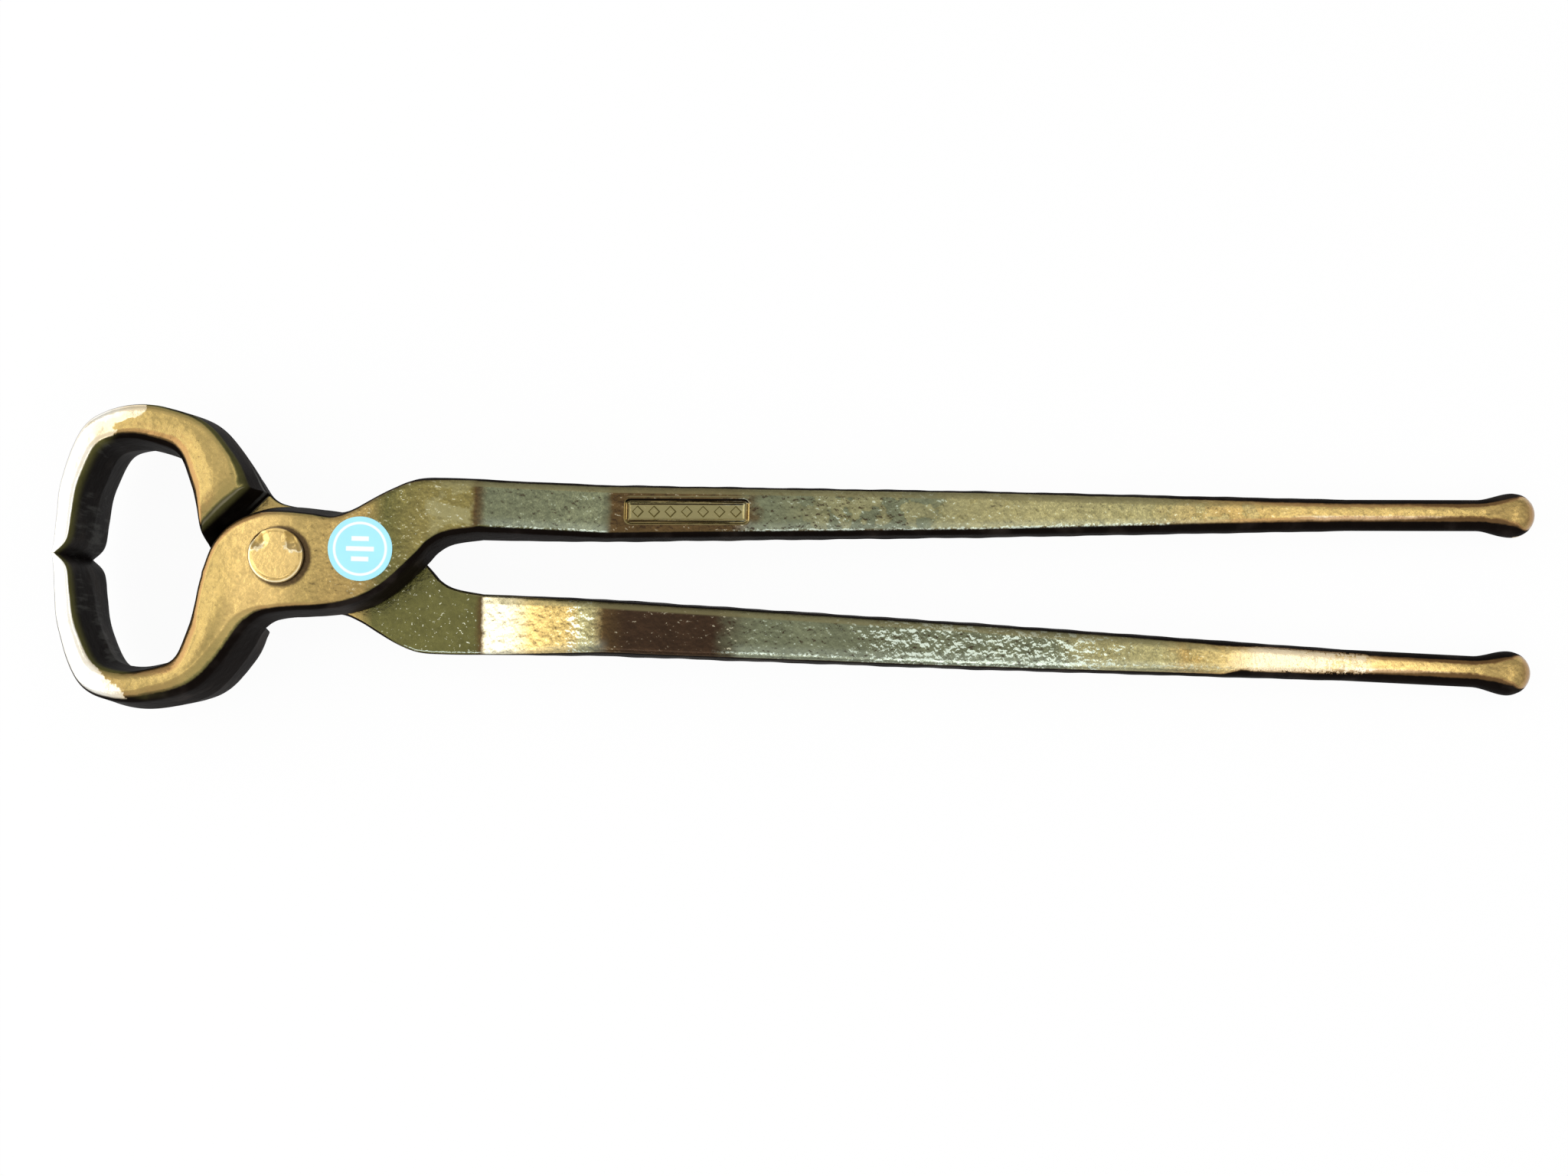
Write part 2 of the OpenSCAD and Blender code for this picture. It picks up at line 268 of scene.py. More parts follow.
class PullerStage(bpy.types.PropertyGroup):
    """Camera, floor and lamps."""

    eye: FloatVectorProperty(
        name="Eye", description="Place of the lens", default=(0.1164, -0.0278, 0.4856), subtype="XYZ",
        unit="LENGTH"
    )
    roll: number("Roll", radians(1.52), "Turn of the picture", subtype="ANGLE")
    lens: number("Lens", 44.3, "Focal length in millimetres")
    shift: FloatVectorProperty(
        name="Shift", description="Shift of the picture, as a share of its width",
        default=(24 / PHOTO_WIDTH, 132 / PHOTO_WIDTH), size=2
    )
    slope: number("Slope", radians(2.01), "Tilt of the tool on its rivet tail and knobs", subtype="ANGLE")
    floor: length("Floor", 6.0, "Side of the square floor")
    sky: number("Sky", 0.92, "Brightness overhead")
    horizon: number("Horizon", 0.38, "Brightness at the horizon")


GROUPS = {
    "puller_forging": PullerForging,
    "puller_stamp": PullerStamp,
    "puller_surface": PullerSurface,
    "puller_rivet": PullerRivet,
    "puller_label": PullerLabel,
    "puller_finish": PullerFinish,
    "puller_stage": PullerStage,
}


def arithmetic(operation):
    """An operator and its reflected form, which add one Math node."""
    return lambda a, b: a.math(operation, a, b), lambda a, b: a.math(operation, b, a)


class Value:
    """A node socket whose arithmetic adds Math nodes."""

    def __init__(self, socket):
        self.socket = socket

    def math(self, operation, first, second=0.0):
        return add(self.socket.id_data, "ShaderNodeMath", {"operation": operation}, {0: first, 1: second})

    __add__, __radd__ = arithmetic("ADD")
    __sub__, __rsub__ = arithmetic("SUBTRACT")
    __mul__, __rmul__ = arithmetic("MULTIPLY")
    __truediv__, __rtruediv__ = arithmetic("DIVIDE")

    def __neg__(self):
        return self.math("SUBTRACT", 0.0, self)

    def __abs__(self):
        return self.math("ABSOLUTE", self)

    def root(self):
        return self.math("SQRT", self)

    def least(self, other):
        return self.math("MINIMUM", self, other)

    def most(self, other):
        return self.math("MAXIMUM", self, other)

    def rise(self, low, high):
        """A smooth step from 0 at low to 1 at high, whichever of them is the larger."""
        sockets = {"Value": self, "From Min": low, "From Max": high}
        return add(self.socket.id_data, "ShaderNodeMapRange", {"interpolation_type": "SMOOTHSTEP"}, sockets)


def add(tree, kind, settings=None, sockets=None, output=0):
    """Adds a node: its settings first, then its sockets' values or links. Returns one output.

    A colour ramp's stops are (place, shade) pairs in order."""
    made = tree.nodes.new(kind)
    for name, value in (settings or {}).items():
        if name == "stops":
            elements = made.color_ramp.elements
            for element, (place, shade) in zip(elements, (value[0], value[-1])):
                element.position = place
                element.color = (*shade, 1)
            for place, shade in value[1:-1]:
                elements.new(place).color = (*shade, 1)
        else:
            setattr(made, name, value)
    for name, value in (sockets or {}).items():
        if isinstance(value, Value):
            tree.links.new(value.socket, made.inputs[name])
        else:
            made.inputs[name].default_value = value
    return Value(made.outputs[output]) if made.outputs else None


def empty_tree(owner):
    """The emptied node tree of a material or a world."""
    owner.use_nodes = True
    owner.node_tree.nodes.clear()
    return owner.node_tree


class Material:
    """A new material, with the patterns that this tool's finishes share.

    Its x, y and z are counted from the centre, and a shade is a link or the name of a finish's colour."""

    def __init__(self, name, finish, centre=(0, 0, 0)):
        self.made, self.finish = bpy.data.materials.new(name), finish
        self.tree = empty_tree(self.made)
        self.place = self.node("ShaderNodeTexCoord", output="Object")
        self.x, self.y, self.z = self.split(self.moved([-c for c in centre]))

    def node(self, kind, settings=None, sockets=None, output=0):
        return add(self.tree, kind, settings, sockets, output)

    def moved(self, offset):
        return self.node("ShaderNodeVectorMath", {"operation": "ADD"}, {0: self.place, 1: offset})

    def split(self, vector):
        """The three numbers of a vector."""
        parts = self.node("ShaderNodeSeparateXYZ", None, {"Vector": vector}).socket.node.outputs
        return [Value(part) for part in parts]

    def reach(self, x=0.0, y=0.0):
        """Distance from the upright line through (x, y)."""
        dx, dy = self.x - x, self.y - y
        return (dx * dx + dy * dy).root()

    def noise(self, size, detail=2.0, offset=(0, 0, 0), rough=0.5, squash=(1, 1, 1)):
        """Noise from 0 to 1 whose lumps are about size metres across, longer where squash is small."""
        sockets = {0: self.moved(offset), 1: squash}
        vector = self.node("ShaderNodeVectorMath", {"operation": "MULTIPLY"}, sockets)
        sockets = {"Vector": vector, "Scale": 1 / size, "Detail": detail, "Roughness": rough}
        return self.node("ShaderNodeTexNoise", None, sockets, "Fac")

    def mix(self, share, a, b, blend="MIX"):
        """A colour between two shades."""
        a, b = (c if isinstance(c, Value) else (*getattr(self.finish, c), 1) for c in (a, b))
        settings = {"data_type": "RGBA", "blend_type": blend}
        return self.node("ShaderNodeMix", settings, {0: share, 6: a, 7: b}, 2)

    def laid(self, tint, *layers):
        """A tint with layers over it, each a share and a shade."""
        for share, shade in layers:
            tint = self.mix(share, tint, shade)
        return tint

    def tone(self, amount, shade):
        """The shade made lighter or darker by a number."""
        grey = self.node("ShaderNodeCombineColor", None, {0: amount, 1: amount, 2: amount})
        return self.mix(1.0, shade, grey, "MULTIPLY")

    def bump(self, strength, distance, height):
        sockets = {"Strength": strength, "Distance": distance, "Height": height}
        return self.node("ShaderNodeBump", None, sockets)

    def surface(self, **sockets):
        """The material with its surface shader, named sockets first written with underscores."""
        named = {name.replace("_", " "): value for name, value in sockets.items()}
        surface = self.node("ShaderNodeBsdfPrincipled", None, named)
        self.node("ShaderNodeOutputMaterial", None, {"Surface": surface})
        return self.made


def smooth(t):
    """Smooth step from 0 to 1 of a number or an array."""
    t = np.clip(t, 0, 1)
    return t * t * (3 - 2 * t)


def millimetres(group):
    """A group's values, its lengths in millimetres."""
    kinds = group.bl_rna.properties
    values = {key: getattr(group, key) for key in group.__annotations__}
    return SimpleNamespace(**{key: v / MM if kinds[key].unit == "LENGTH" else v for key, v in values.items()})


def corner(x, z, across, up, quarter, power):
    """A quarter of a superellipse about (x, z), counted anticlockwise from the right."""
    turn = np.linspace(0, pi / 2, CORNER_POINTS)
    c = np.abs(np.cos(turn)) ** (2 / power)
    s = np.abs(np.sin(turn)) ** (2 / power)
    c, s = ((c, s), (-s, c), (-c, -s), (s, -c))[quarter]
    return np.stack([x + across * c, z + up * s], 1)


def between(a, b, points, bias=1.0):
    """Points from a to b without either end, crowded towards a by the bias."""
    t = (np.linspace(0, 1, points + 2)[1:-1] ** bias)[:, None]
    return np.array(a) * (1 - t) + np.array(b) * t


def section(
    w, low, high, low_r, high_r, outer, inner, flash=0.0, crown=(0.0, 0.0), power=(2.0, 2.0), roll=(0.0, 0.0),
    soft=0.0, level=0.0
):
    """The outline of a bar across its run, widest at the parting line, as (across, up) points.

    The pairs are for the underside and the top. The roll widens the rounding of the outer edge, and
    soft that of the inner edges. Level is the share of the crown that runs out level at its edges."""
    outer = outer if isinstance(outer, tuple) else (outer, outer)
    widest = max(0, low + low_r + 0.4)
    low, high = low + crown[0], high - crown[1]
    below, above = widest - low - low_r, high - high_r - widest
    spread = [1 + 0.4 * (2 - p) for p in power]
    outer_widest, inner_widest = (-flash, widest), (w + flash, widest)

    def round_off(x, side, quarter):
        r, more = (low_r, high_r)[side], roll[side] if quarter in (1, 2) else soft
        across, up = r * spread[side] + more, r + more * 0.45
        z = (low + up, high - up)[side]
        x = x + across if quarter in (1, 2) else x - across
        return corner(x, z, across, up, quarter, power[side])

    under_out = round_off(outer[0] * below, 0, 2)
    under_in = round_off(w - inner * below, 0, 3)
    top_in = round_off(w - inner * above, 1, 0)
    top_out = round_off(outer[1] * above, 1, 1)
    under = between(under_out[-1], under_in[0], UNDER_POINTS)
    top = between(top_in[-1], top_out[0], TOP_POINTS)
    for face, lift, count in ((under, -crown[0], UNDER_POINTS), (top, crown[1], TOP_POINTS)):
        t = np.linspace(-1, 1, count + 2)[1:-1]
        lift *= min(1, np.ptp(face[:, 0]) / CROWN_WIDTH) ** 2
        face[:, 1] += lift * ((1 - t**4) * (1 - level) + (1 - t * t) ** 2 * level)
    return np.concatenate([
        [outer_widest],
        between(outer_widest, under_out[0], WALL_POINTS, 1.8),
        under_out, under, under_in,
        between(inner_widest, under_in[-1], WALL_POINTS, 1.8)[::-1],
        [inner_widest],
        between(inner_widest, top_in[0], WALL_POINTS, 1.8),
        top_in, top, top_out,
        between(outer_widest, top_out[-1], WALL_POINTS, 1.8)[::-1],
    ])


def placed(x, y, turn, points):
    """A section stood on (x, y), with its across direction turned from +X."""
    turn = radians(turn)
    return np.stack([x + points[:, 0] * cos(turn), y + points[:, 0] * sin(turn), points[:, 1]], 1)


def head_stations(f):
    """Stations from the gripping edge to the rein's root: outer point, direction across, width.

    Here and below, f holds the forging's sizes in millimetres."""
    foot = (-f.reach + 0.4, -f.cheek)
    bottom = (-f.reach + f.bend, -f.drop)
    heel = (-f.heel_x, -f.joint_low - f.heel_rise)
    root = (f.joggle, f.rein_offset - f.root_width / 2)
    bend, heel_w, joint, rein = f.bend_wall, f.heel_wall, f.joint, f.root_width

    def front(angle):
        a = radians(angle)
        return bottom[0] + (foot[0] - bottom[0]) * cos(a), foot[1] + (bottom[1] - foot[1]) * sin(a)

    def rear(angle):
        a = radians(angle)
        return bottom[0] + (heel[0] - bottom[0]) * sin(a), heel[1] + (bottom[1] - heel[1]) * cos(a)

    return np.array([
        (-f.reach, -f.gap / 2, 0, f.edge),
        (-f.reach, -f.bevel, 0, f.lip),
        (-f.reach, -(f.bevel + f.cheek) / 2 + 1, 3, (f.lip + f.cheek_wall) / 2),
        (*foot, 8, f.cheek_wall),
        (*front(40), 46, (f.cheek_wall + bend) / 2),
        (*front(63), 71, bend - 0.6),
        (*bottom, 87, bend),
        (*rear(13), 98, bend + 0.6),
        (*rear(27), 113, (2 * bend + heel_w) / 3 - 2),
        (*rear(40), 127, (bend + heel_w) / 2 - 2.2),
        (heel[0] - 6, heel[1] - 9.4, 134, (bend + heel_w) / 2 + 0.2),
        (heel[0] - 2.4, heel[1] - 4.3, 141, heel_w - 2.9),
        (*heel, 136, heel_w),
        (-4.8, -f.joint_low - 2.2, 133, (heel_w + joint) / 2 - 2.2),
        (-3, -f.joint_low - 1, 123, joint - 3),
        (-1, -f.joint_low - 0.4, 113, joint - 0.7),
        (1.5, -f.joint_low, 104, joint + 0.2),
        (5, -f.joint_low + 0.3, 98, joint - 0.2),
        (9.5, -f.joint_low + 0.6, 94.5, joint - 1.1),
        (15.5, -f.joint_low + 1.5, 97, joint - 2.4),
        (21.2, -f.joint_low + 3.5, 100, joint - 2.6),
        (root[0] - 20.4, root[1] - 12.9, 102, rein + 8.9),
        (root[0] - 13.8, root[1] - 6.6, 107, rein + 5.9),
        (root[0] - 10.8, root[1] - 3.3, 104, rein + 3.7),
        (root[0] - 7, root[1] - 1.2, 98, rein + 1.5),
        (*root, 90, rein),
    ])


def along(stations, u):
    """A smooth curve through the stations at u."""
    last = len(stations) - 1
    i = min(int(u), last - 1)
    t = u - i
    a, b, c, d = (stations[min(max(k, 0), last)] for k in range(i - 1, i + 3))
    return (2 * b + (c - a) * t + (2 * a - 5 * b + 4 * c - d) * t**2 + (3 * b - a - 3 * c + d) * t**3) / 2


def evened(curve, us):
    """A copy of a curve whose bends are evened out between the lips and the heel."""
    reach = int(1.4 * STEPS)
    kernel = np.exp(-np.linspace(-2, 2, 2 * reach + 1) ** 2)
    padded = np.pad(curve, ((reach, reach), (0, 0)), "edge")
    even = np.stack([np.convolve(padded[:, k], kernel / kernel.sum(), "valid") for k in (0, 1)], 1)
    share = smooth((us - 2) / 1.5) * smooth((HEEL_U - 0.2 - us) / 0.8)
    return curve + (even - curve) * share[:, None]


def head_rings(f):
    """Sections from the gripping edge through the jaw and the half-thick joint."""
    stations = head_stations(f)
    last = len(stations) - 1
    deep = f.depth / 2
    us = np.arange(last * STEPS) / STEPS
    course = np.array([along(stations, u) for u in us])
    turn = np.radians(course[:, 2:3])
    outer_line = evened(course[:, :2], us)
    inner_line = evened(course[:, :2] + course[:, 3:] * np.hstack([np.cos(turn), np.sin(turn)]), us)
    step_u, step_up = np.transpose(LAP_STEP)
    low_u = [0, BOTTOM_U, *(HEEL_U + step_u), HEEL_U + LAP_FROM]
    low_z = [f.relief - deep, -deep, *(step_up - deep), f.lap_gap / 2]
    rings = []
    for u, start, across in zip(us, outer_line, inner_line - outer_line):
        lip_r = np.interp(u, [0, 1, 4], [0.25, 0.8, f.edge_r])
        low = np.interp(u, low_u, low_z)
        on_lap = smooth((u - HEEL_U + 0.4) / 0.6)
        free = np.interp(u, [1.5, 3.5], [0, 1])
        bowed = np.interp(u, [5, 7, HEEL_U - 1, HEEL_U], [0, 1, 1, 0])
        outer = np.interp(u, [0, 3], [0, f.draft])
        inner = np.interp(
            u,
            [0, 3, HEEL_U - 4, HEEL_U, last - 3, last],
            [0, f.draft, f.draft, f.joint_draft, f.joint_draft, f.draft],
        )
        outline = section(
            np.hypot(*across), low, np.interp(u, [0, BOTTOM_U], [deep - f.relief, deep]),
            np.interp(u, [HEEL_U - 1, HEEL_U], [lip_r, f.lap_r]), lip_r,
            (outer * (1 - 0.6 * bowed), outer * (1 + 0.3 * bowed)), inner,
            flash=f.flash * free * (1 - on_lap),
            crown=(f.crown * free * (1 - on_lap), f.crown * free),
            power=(2 - 0.3 * free * (1 - on_lap), 2 - 0.3 * free),
            roll=(
                np.interp(u, [HEEL_U - 1.4, HEEL_U - 0.3, HEEL_U], [0, 2.2, 1.2]) * (1 - on_lap),
                np.interp(u, [5, 7, HEEL_U - 3, HEEL_U, HEEL_U + 3], [0, 1.8, 2.6, 2.0, 0]),
            ),
            soft=np.interp(u, [5, 8, HEEL_U - 1.5, HEEL_U - 0.8], [0, 1.3, 1.3, 0]),
            level=np.interp(u, [HEEL_U, HEEL_U + 6], [1, 0]),
        )
        rings.append(placed(*start, np.degrees(np.arctan2(across[1], across[0])), outline))
    return rings


def straight_from(f):
    """Where the joggle ends and the rein runs straight."""
    return f.joggle + f.joggle_run


def rein_line(f, x):
    """Distance of the rein's centre from the centre line."""
    return np.interp(x, [straight_from(f), f.knob_end - f.knob / 2], [f.rein_offset, f.knob_offset])


def rein_slope(f):
    """How fast the reins spread."""
    return (f.knob_offset - f.rein_offset) / (f.knob_end - f.knob / 2 - straight_from(f))


def rein_ring(f, x, width, thick, r, flash=0.0, crown=0.0, power=2.0):
    """A section of the rein, which the joggle takes from the outer face back to mid-thickness."""
    span = [f.joggle, straight_from(f)]
    rise = np.mean([np.interp(x + blur, span, [1, 0]) for blur in (-0.5, 0, 0.5)])
    low = f.lap_gap / 2 * rise - thick / 2 * (1 - rise)
    high = f.depth / 2 * rise + thick / 2 * (1 - rise)
    low_r = f.lap_r * rise + r * (1 - rise)
    outline = section(
        width, low, high, low_r, r, f.draft, f.draft, flash * (1 - rise),
        (crown * (1 - rise), crown), (2 - (2 - power) * (1 - rise), power)
    )
    return placed(x, rein_line(f, x) - width / 2, 90, outline)


def rein_rings(f, stamp):
    """Sections from the rein's root to its slender end, closest together at the stamped panel."""
    start, straight, end = f.joggle, straight_from(f), f.knob_end - f.end_run
    middle = (straight + end) / 2
    first, last = stamp.place - stamp.run / 2 - 1, stamp.place + stamp.run / 2 + 1
    runs = (start, first, REIN_STEP), (first, last, PANEL_STEP), (last, end, REIN_STEP)
    widths = [f.root_width, f.rein_width, f.mid_width, f.end_width]
    rings = []
    for x in np.concatenate([np.arange(*run) for run in runs]):
        width = np.interp(x, [start, straight, middle, end], widths)
        thick = np.interp(x, [straight, end], [f.thick, f.end_thick])
        r = np.interp(x, [straight, middle, end], [f.edge_r, f.edge_r, f.end_thick / 2 - 0.3])
        slim = np.interp(x, [middle, end], [0, 1])
        ragged = 1 + 0.6 * sin(0.31 * x) + 0.4 * sin(0.83 * x + 1)
        flash, crown = f.flash * ragged * (1 - 0.5 * slim), f.crown * 0.7 * (1 - slim)
        rings.append(rein_ring(f, x, width, thick, r, flash, crown, 1.6 + 0.4 * slim))
    return rings


def knob_rings(f):
    """Sections of the slender end and of the ball it flares into."""
    r = f.knob / 2
    centre = f.knob_end - r
    neck = centre - 1.6 * r
    rings = []
    for x in [*np.arange(f.knob_end - f.end_run, neck, REIN_STEP), *np.linspace(neck, centre, 16)]:
        flare = smooth((x - neck) / (centre - neck))
        w = f.end_width + (f.knob - f.end_width) * flare
        t = f.end_thick + (f.knob - f.end_thick) * flare
        edge = np.interp(x, [f.knob_end - f.end_run, neck], [f.end_thick / 2 - 0.3, f.end_thick / 2 - 0.25])
        rings.append(rein_ring(f, x, w, t, edge + (r - 0.25 - edge) * flare))
    for angle in np.radians(np.arange(6, 84, 6)):
        d = f.knob * cos(angle)
        rings.append(rein_ring(f, centre + r * sin(angle), d, d, d / 2 - 0.2 * cos(angle)))
    return rings


def sink_panel(points, f, stamp):
    """Sinks the stamped panel into the outer face, with a low lip outside and a raised line inside."""
    dx = np.abs(points[..., 0] - stamp.place) - (stamp.run / 2 - stamp.corner)
    dy = np.abs(points[..., 1] - rein_line(f, points[..., 0])) - (stamp.width / 2 - stamp.corner)
    edge = np.hypot(np.maximum(dx, 0), np.maximum(dy, 0)) + np.minimum(np.maximum(dx, dy), 0) - stamp.corner
    profile = (
        -stamp.depth * smooth((0.15 - edge) / 0.5)
        + stamp.rim * np.exp(-(((edge + 0.85) / 0.26) ** 2))
        + 0.06 * np.exp(-(((edge - 0.4) / 0.25) ** 2))
    )
    points[..., 2] += np.where(points[..., 2] > f.end_thick / 2, profile, 0)


def new_object(name, points, faces, material):
    """A mesh object of points in millimetres, its normals turned outwards."""
    mesh = bpy.data.meshes.new(name)
    mesh.from_pydata([tuple(p) for p in np.asarray(points) * MM], [], faces)
    shell = bmesh.new()
    shell.from_mesh(mesh)
    bmesh.ops.recalc_face_normals(shell, faces=shell.faces)
    shell.to_mesh(mesh)
    shell.free()
    mesh.shade_smooth()
    mesh.materials.append(material)
    made = bpy.data.objects.new(name, mesh)
    bpy.context.scene.collection.objects.link(made)
    return made


def loft(name, rings, material):
    """A skin over rings with the same number of points, closed by a flat face at each end."""
    n, last = len(rings[0]), len(rings) - 1
    faces = [
        (i * n + j, i * n + (j + 1) % n, (i + 1) * n + (j + 1) % n, (i + 1) * n + j)
        for i in range(last) for j in range(n)
    ]
    faces.append(tuple(range(n)))
    faces.append(tuple(range(last * n, (last + 1) * n)))
    return new_object(name, np.concatenate(rings), faces, material)


def settle(piece):
    """Turns a piece's modifiers into its plain mesh."""
    done = bpy.data.meshes.new_from_object(piece.evaluated_get(bpy.context.evaluated_depsgraph_get()))
    piece.modifiers.clear()
    piece.data = done


def bore_out(piece, diameter):
    """Drills the pivot bore."""
    bore, radius = bmesh.new(), diameter / 2 * MM
    bmesh.ops.create_cone(
        bore, cap_ends=True, segments=BORE_POINTS, radius1=radius, radius2=radius, depth=0.1
    )
    cutter = bpy.data.objects.new("cutter", bpy.data.meshes.new("cutter"))
    bore.to_mesh(cutter.data)
    bore.free()
    bpy.context.scene.collection.objects.link(cutter)
    cut = piece.modifiers.new("Bore", "BOOLEAN")
    cut.operation = "DIFFERENCE"
    cut.solver = "EXACT"
    cut.object = cutter
    settle(piece)
    bpy.data.objects.remove(cutter)


def mark_faces(piece, lap_side, flat=False):
    """Writes where the skin faces, and how free it is to be uneven.

    It is least free at the lap, the rivet, the label and the gripping edges, most at the slender ends."""
    mesh = piece.data
    count = len(mesh.vertices)
    place = np.empty(count * 3, np.float32)
    facing = np.empty(count * 3, np.float32)
    mesh.vertices.foreach_get("co", place)
    mesh.vertex_normals.foreach_get("vector", facing)
    if flat:
        facing = np.tile(np.float32([0, 0, 1]), count)
    x, y, z = place.reshape(-1, 3).T / MM
    height = (z - PIVOT.z / MM) * lap_side
    off_lap = smooth((np.abs(height - 0.2) - 0.8) / 2)
    off_rivet = smooth((np.hypot(x, y) - 8.5) / 3)
    off_label = np.where(height > 0, smooth((np.hypot(x - LABEL_X, y - LABEL_Y) - LABEL_R) / 1.5), 1)
    off_edge = np.where(x < -30, smooth((np.abs(y) - 0.6) / 3), 1)
    slender = smooth((x - 205) / 30)
    free = off_lap * off_rivet * off_label * off_edge * (1 + 0.8 * slender)
    mesh.attributes.new("free", "FLOAT", "POINT").data.foreach_set("value", free.astype(np.float32))
    mesh.attributes.new("facing", "FLOAT_VECTOR", "POINT").data.foreach_set("vector", facing)


def geometry_tree(name, inputs):
    """A Geometry Nodes tree with the named inputs, their values inside it and their sockets outside."""
    tree = bpy.data.node_groups.new(name, "GeometryNodeTree")
    tree.interface.new_socket(name="Geometry", in_out="OUTPUT", socket_type="NodeSocketGeometry")
    sockets = {}
    for label, kind in inputs.items():
        kind = "NodeSocket" + kind
        sockets[label] = tree.interface.new_socket(name=label, in_out="INPUT", socket_type=kind)
    source = tree.nodes.new("NodeGroupInput")
    return tree, {label: Value(source.outputs[label]) for label in inputs}, sockets


def end_tree(tree, geometry, material):
    """Ends a tree in Realize Instances and Set Material."""
    whole = add(tree, "GeometryNodeRealizeInstances", None, {"Geometry": geometry})
    done = add(tree, "GeometryNodeSetMaterial", None, {"Geometry": whole, "Material": material})
    result = tree.nodes.new("NodeGroupOutput")
    tree.links.new(done.socket, result.inputs["Geometry"])


def run_tree(piece, tree, sockets, values):
    """Runs a tree on a piece with these inputs, and keeps the plain mesh."""
    nodes = piece.modifiers.new(tree.name, "NODES")
    nodes.node_group = tree
    for label, value in values.items():
        nodes[sockets[label].identifier] = tuple(value) if isinstance(value, Vector) else value
    settle(piece)


def forged_skin_tree():
    """Slow die waves and a fine orange peel, along the normals, where the skin is free."""
    tree, given, sockets = geometry_tree("Forged skin", {
        "Geometry": "Geometry", "Swell": "Float", "Swell Size": "Float", "Peel": "Float",
        "Peel Size": "Float", "Seed": "Float", "Material": "Material",
    })
    free = add(tree, "GeometryNodeInputNamedAttribute", {"data_type": "FLOAT"}, {"Name": "free"})
    normal = add(tree, "GeometryNodeInputNormal")

    def waves(height, size, detail):
        fog = add(
            tree, "ShaderNodeTexNoise", {"noise_dimensions": "4D"},
            {"W": given["Seed"], "Scale": 1.0 / size, "Detail": detail}
        )
        return (fog - 0.5) * 2.0 * height

    lift = waves(given["Swell"], given["Swell Size"], 1.0) + waves(given["Peel"], given["Peel Size"], 2.0)
    offset = add(tree, "ShaderNodeVectorMath", {"operation": "SCALE"}, {0: normal, "Scale": lift * free})
    moved = add(tree, "GeometryNodeSetPosition", None, {"Geometry": given["Geometry"], "Offset": offset})
    end_tree(tree, moved, given["Material"])
    return tree, sockets


def lozenge_row_tree():
    """A row of raised lozenges along X."""
    tree, given, sockets = geometry_tree("Lozenge row", {
        "Count": "Int", "Start": "Vector", "Step": "Vector", "Size": "Vector", "Turn": "Vector",
        "Material": "Material",
    })
    row = add(
        tree, "GeometryNodeMeshLine", {"mode": "OFFSET"},
        {"Count": given["Count"], "Start Location": given["Start"], "Offset": given["Step"]}
    )
    lozenge = add(
        tree, "GeometryNodeMeshCone", None,
        {"Vertices": 4, "Side Segments": 1, "Radius Top": 0.35, "Radius Bottom": 0.5, "Depth": 1.0}
    )
    copies = add(
        tree, "GeometryNodeInstanceOnPoints", None,
        {"Points": row, "Instance": lozenge, "Scale": given["Size"], "Rotation": given["Turn"]}
    )
    end_tree(tree, copies, given["Material"])
    return tree, sockets


def turned(name, rings, material):
    """A closed skin over a pole, rings with the same number of points, and a pole."""
    count = len(rings[1])
    last = 1 + (len(rings) - 3) * count
    faces = [(0, 1 + j, 1 + (j + 1) % count) for j in range(count)]
    for a in range(1, last, count):
        b = a + count
        faces += [(a + j, b + j, b + (j + 1) % count, a + (j + 1) % count) for j in range(count)]
    faces += [(last + j, last + count, last + (j + 1) % count) for j in range(count)]
    return new_object(name, np.concatenate(rings), faces, material)


def dented(r, x, y):
    """Height of the rivet head's top over its rim's plane at (x, y) from its middle."""
    radius = r.head / 2
    reach = np.hypot(x, y)
    rolled = r.rim / 2 * smooth((reach - radius + r.crown) / (r.crown * 0.7))
    rolled = rolled + 1.4 * r.rim * smooth((reach - radius + r.crown / 3) / (r.crown / 3)) ** 2
    dents = 0 * reach
    for mark_x, mark_y, size in HAMMER_MARKS:
        away = np.hypot(x - mark_x * radius, y - mark_y * radius) / (r.mark_size * size)
        dents = dents + r.mark_depth * smooth((1.35 - away) / 0.8)
    worn = 0.22 * smooth((-y / radius - 0.1) / 0.5) * smooth((reach / radius - 0.8) / 0.05)
    worn = worn * smooth((radius - reach) / 0.2)
    wave = 0.03 * np.sin(3 * x / radius + 1) * np.cos(2.4 * y / radius)
    return r.head_high - rolled - dents * (reach < radius - 0.1) - worn - 0.03 + wave


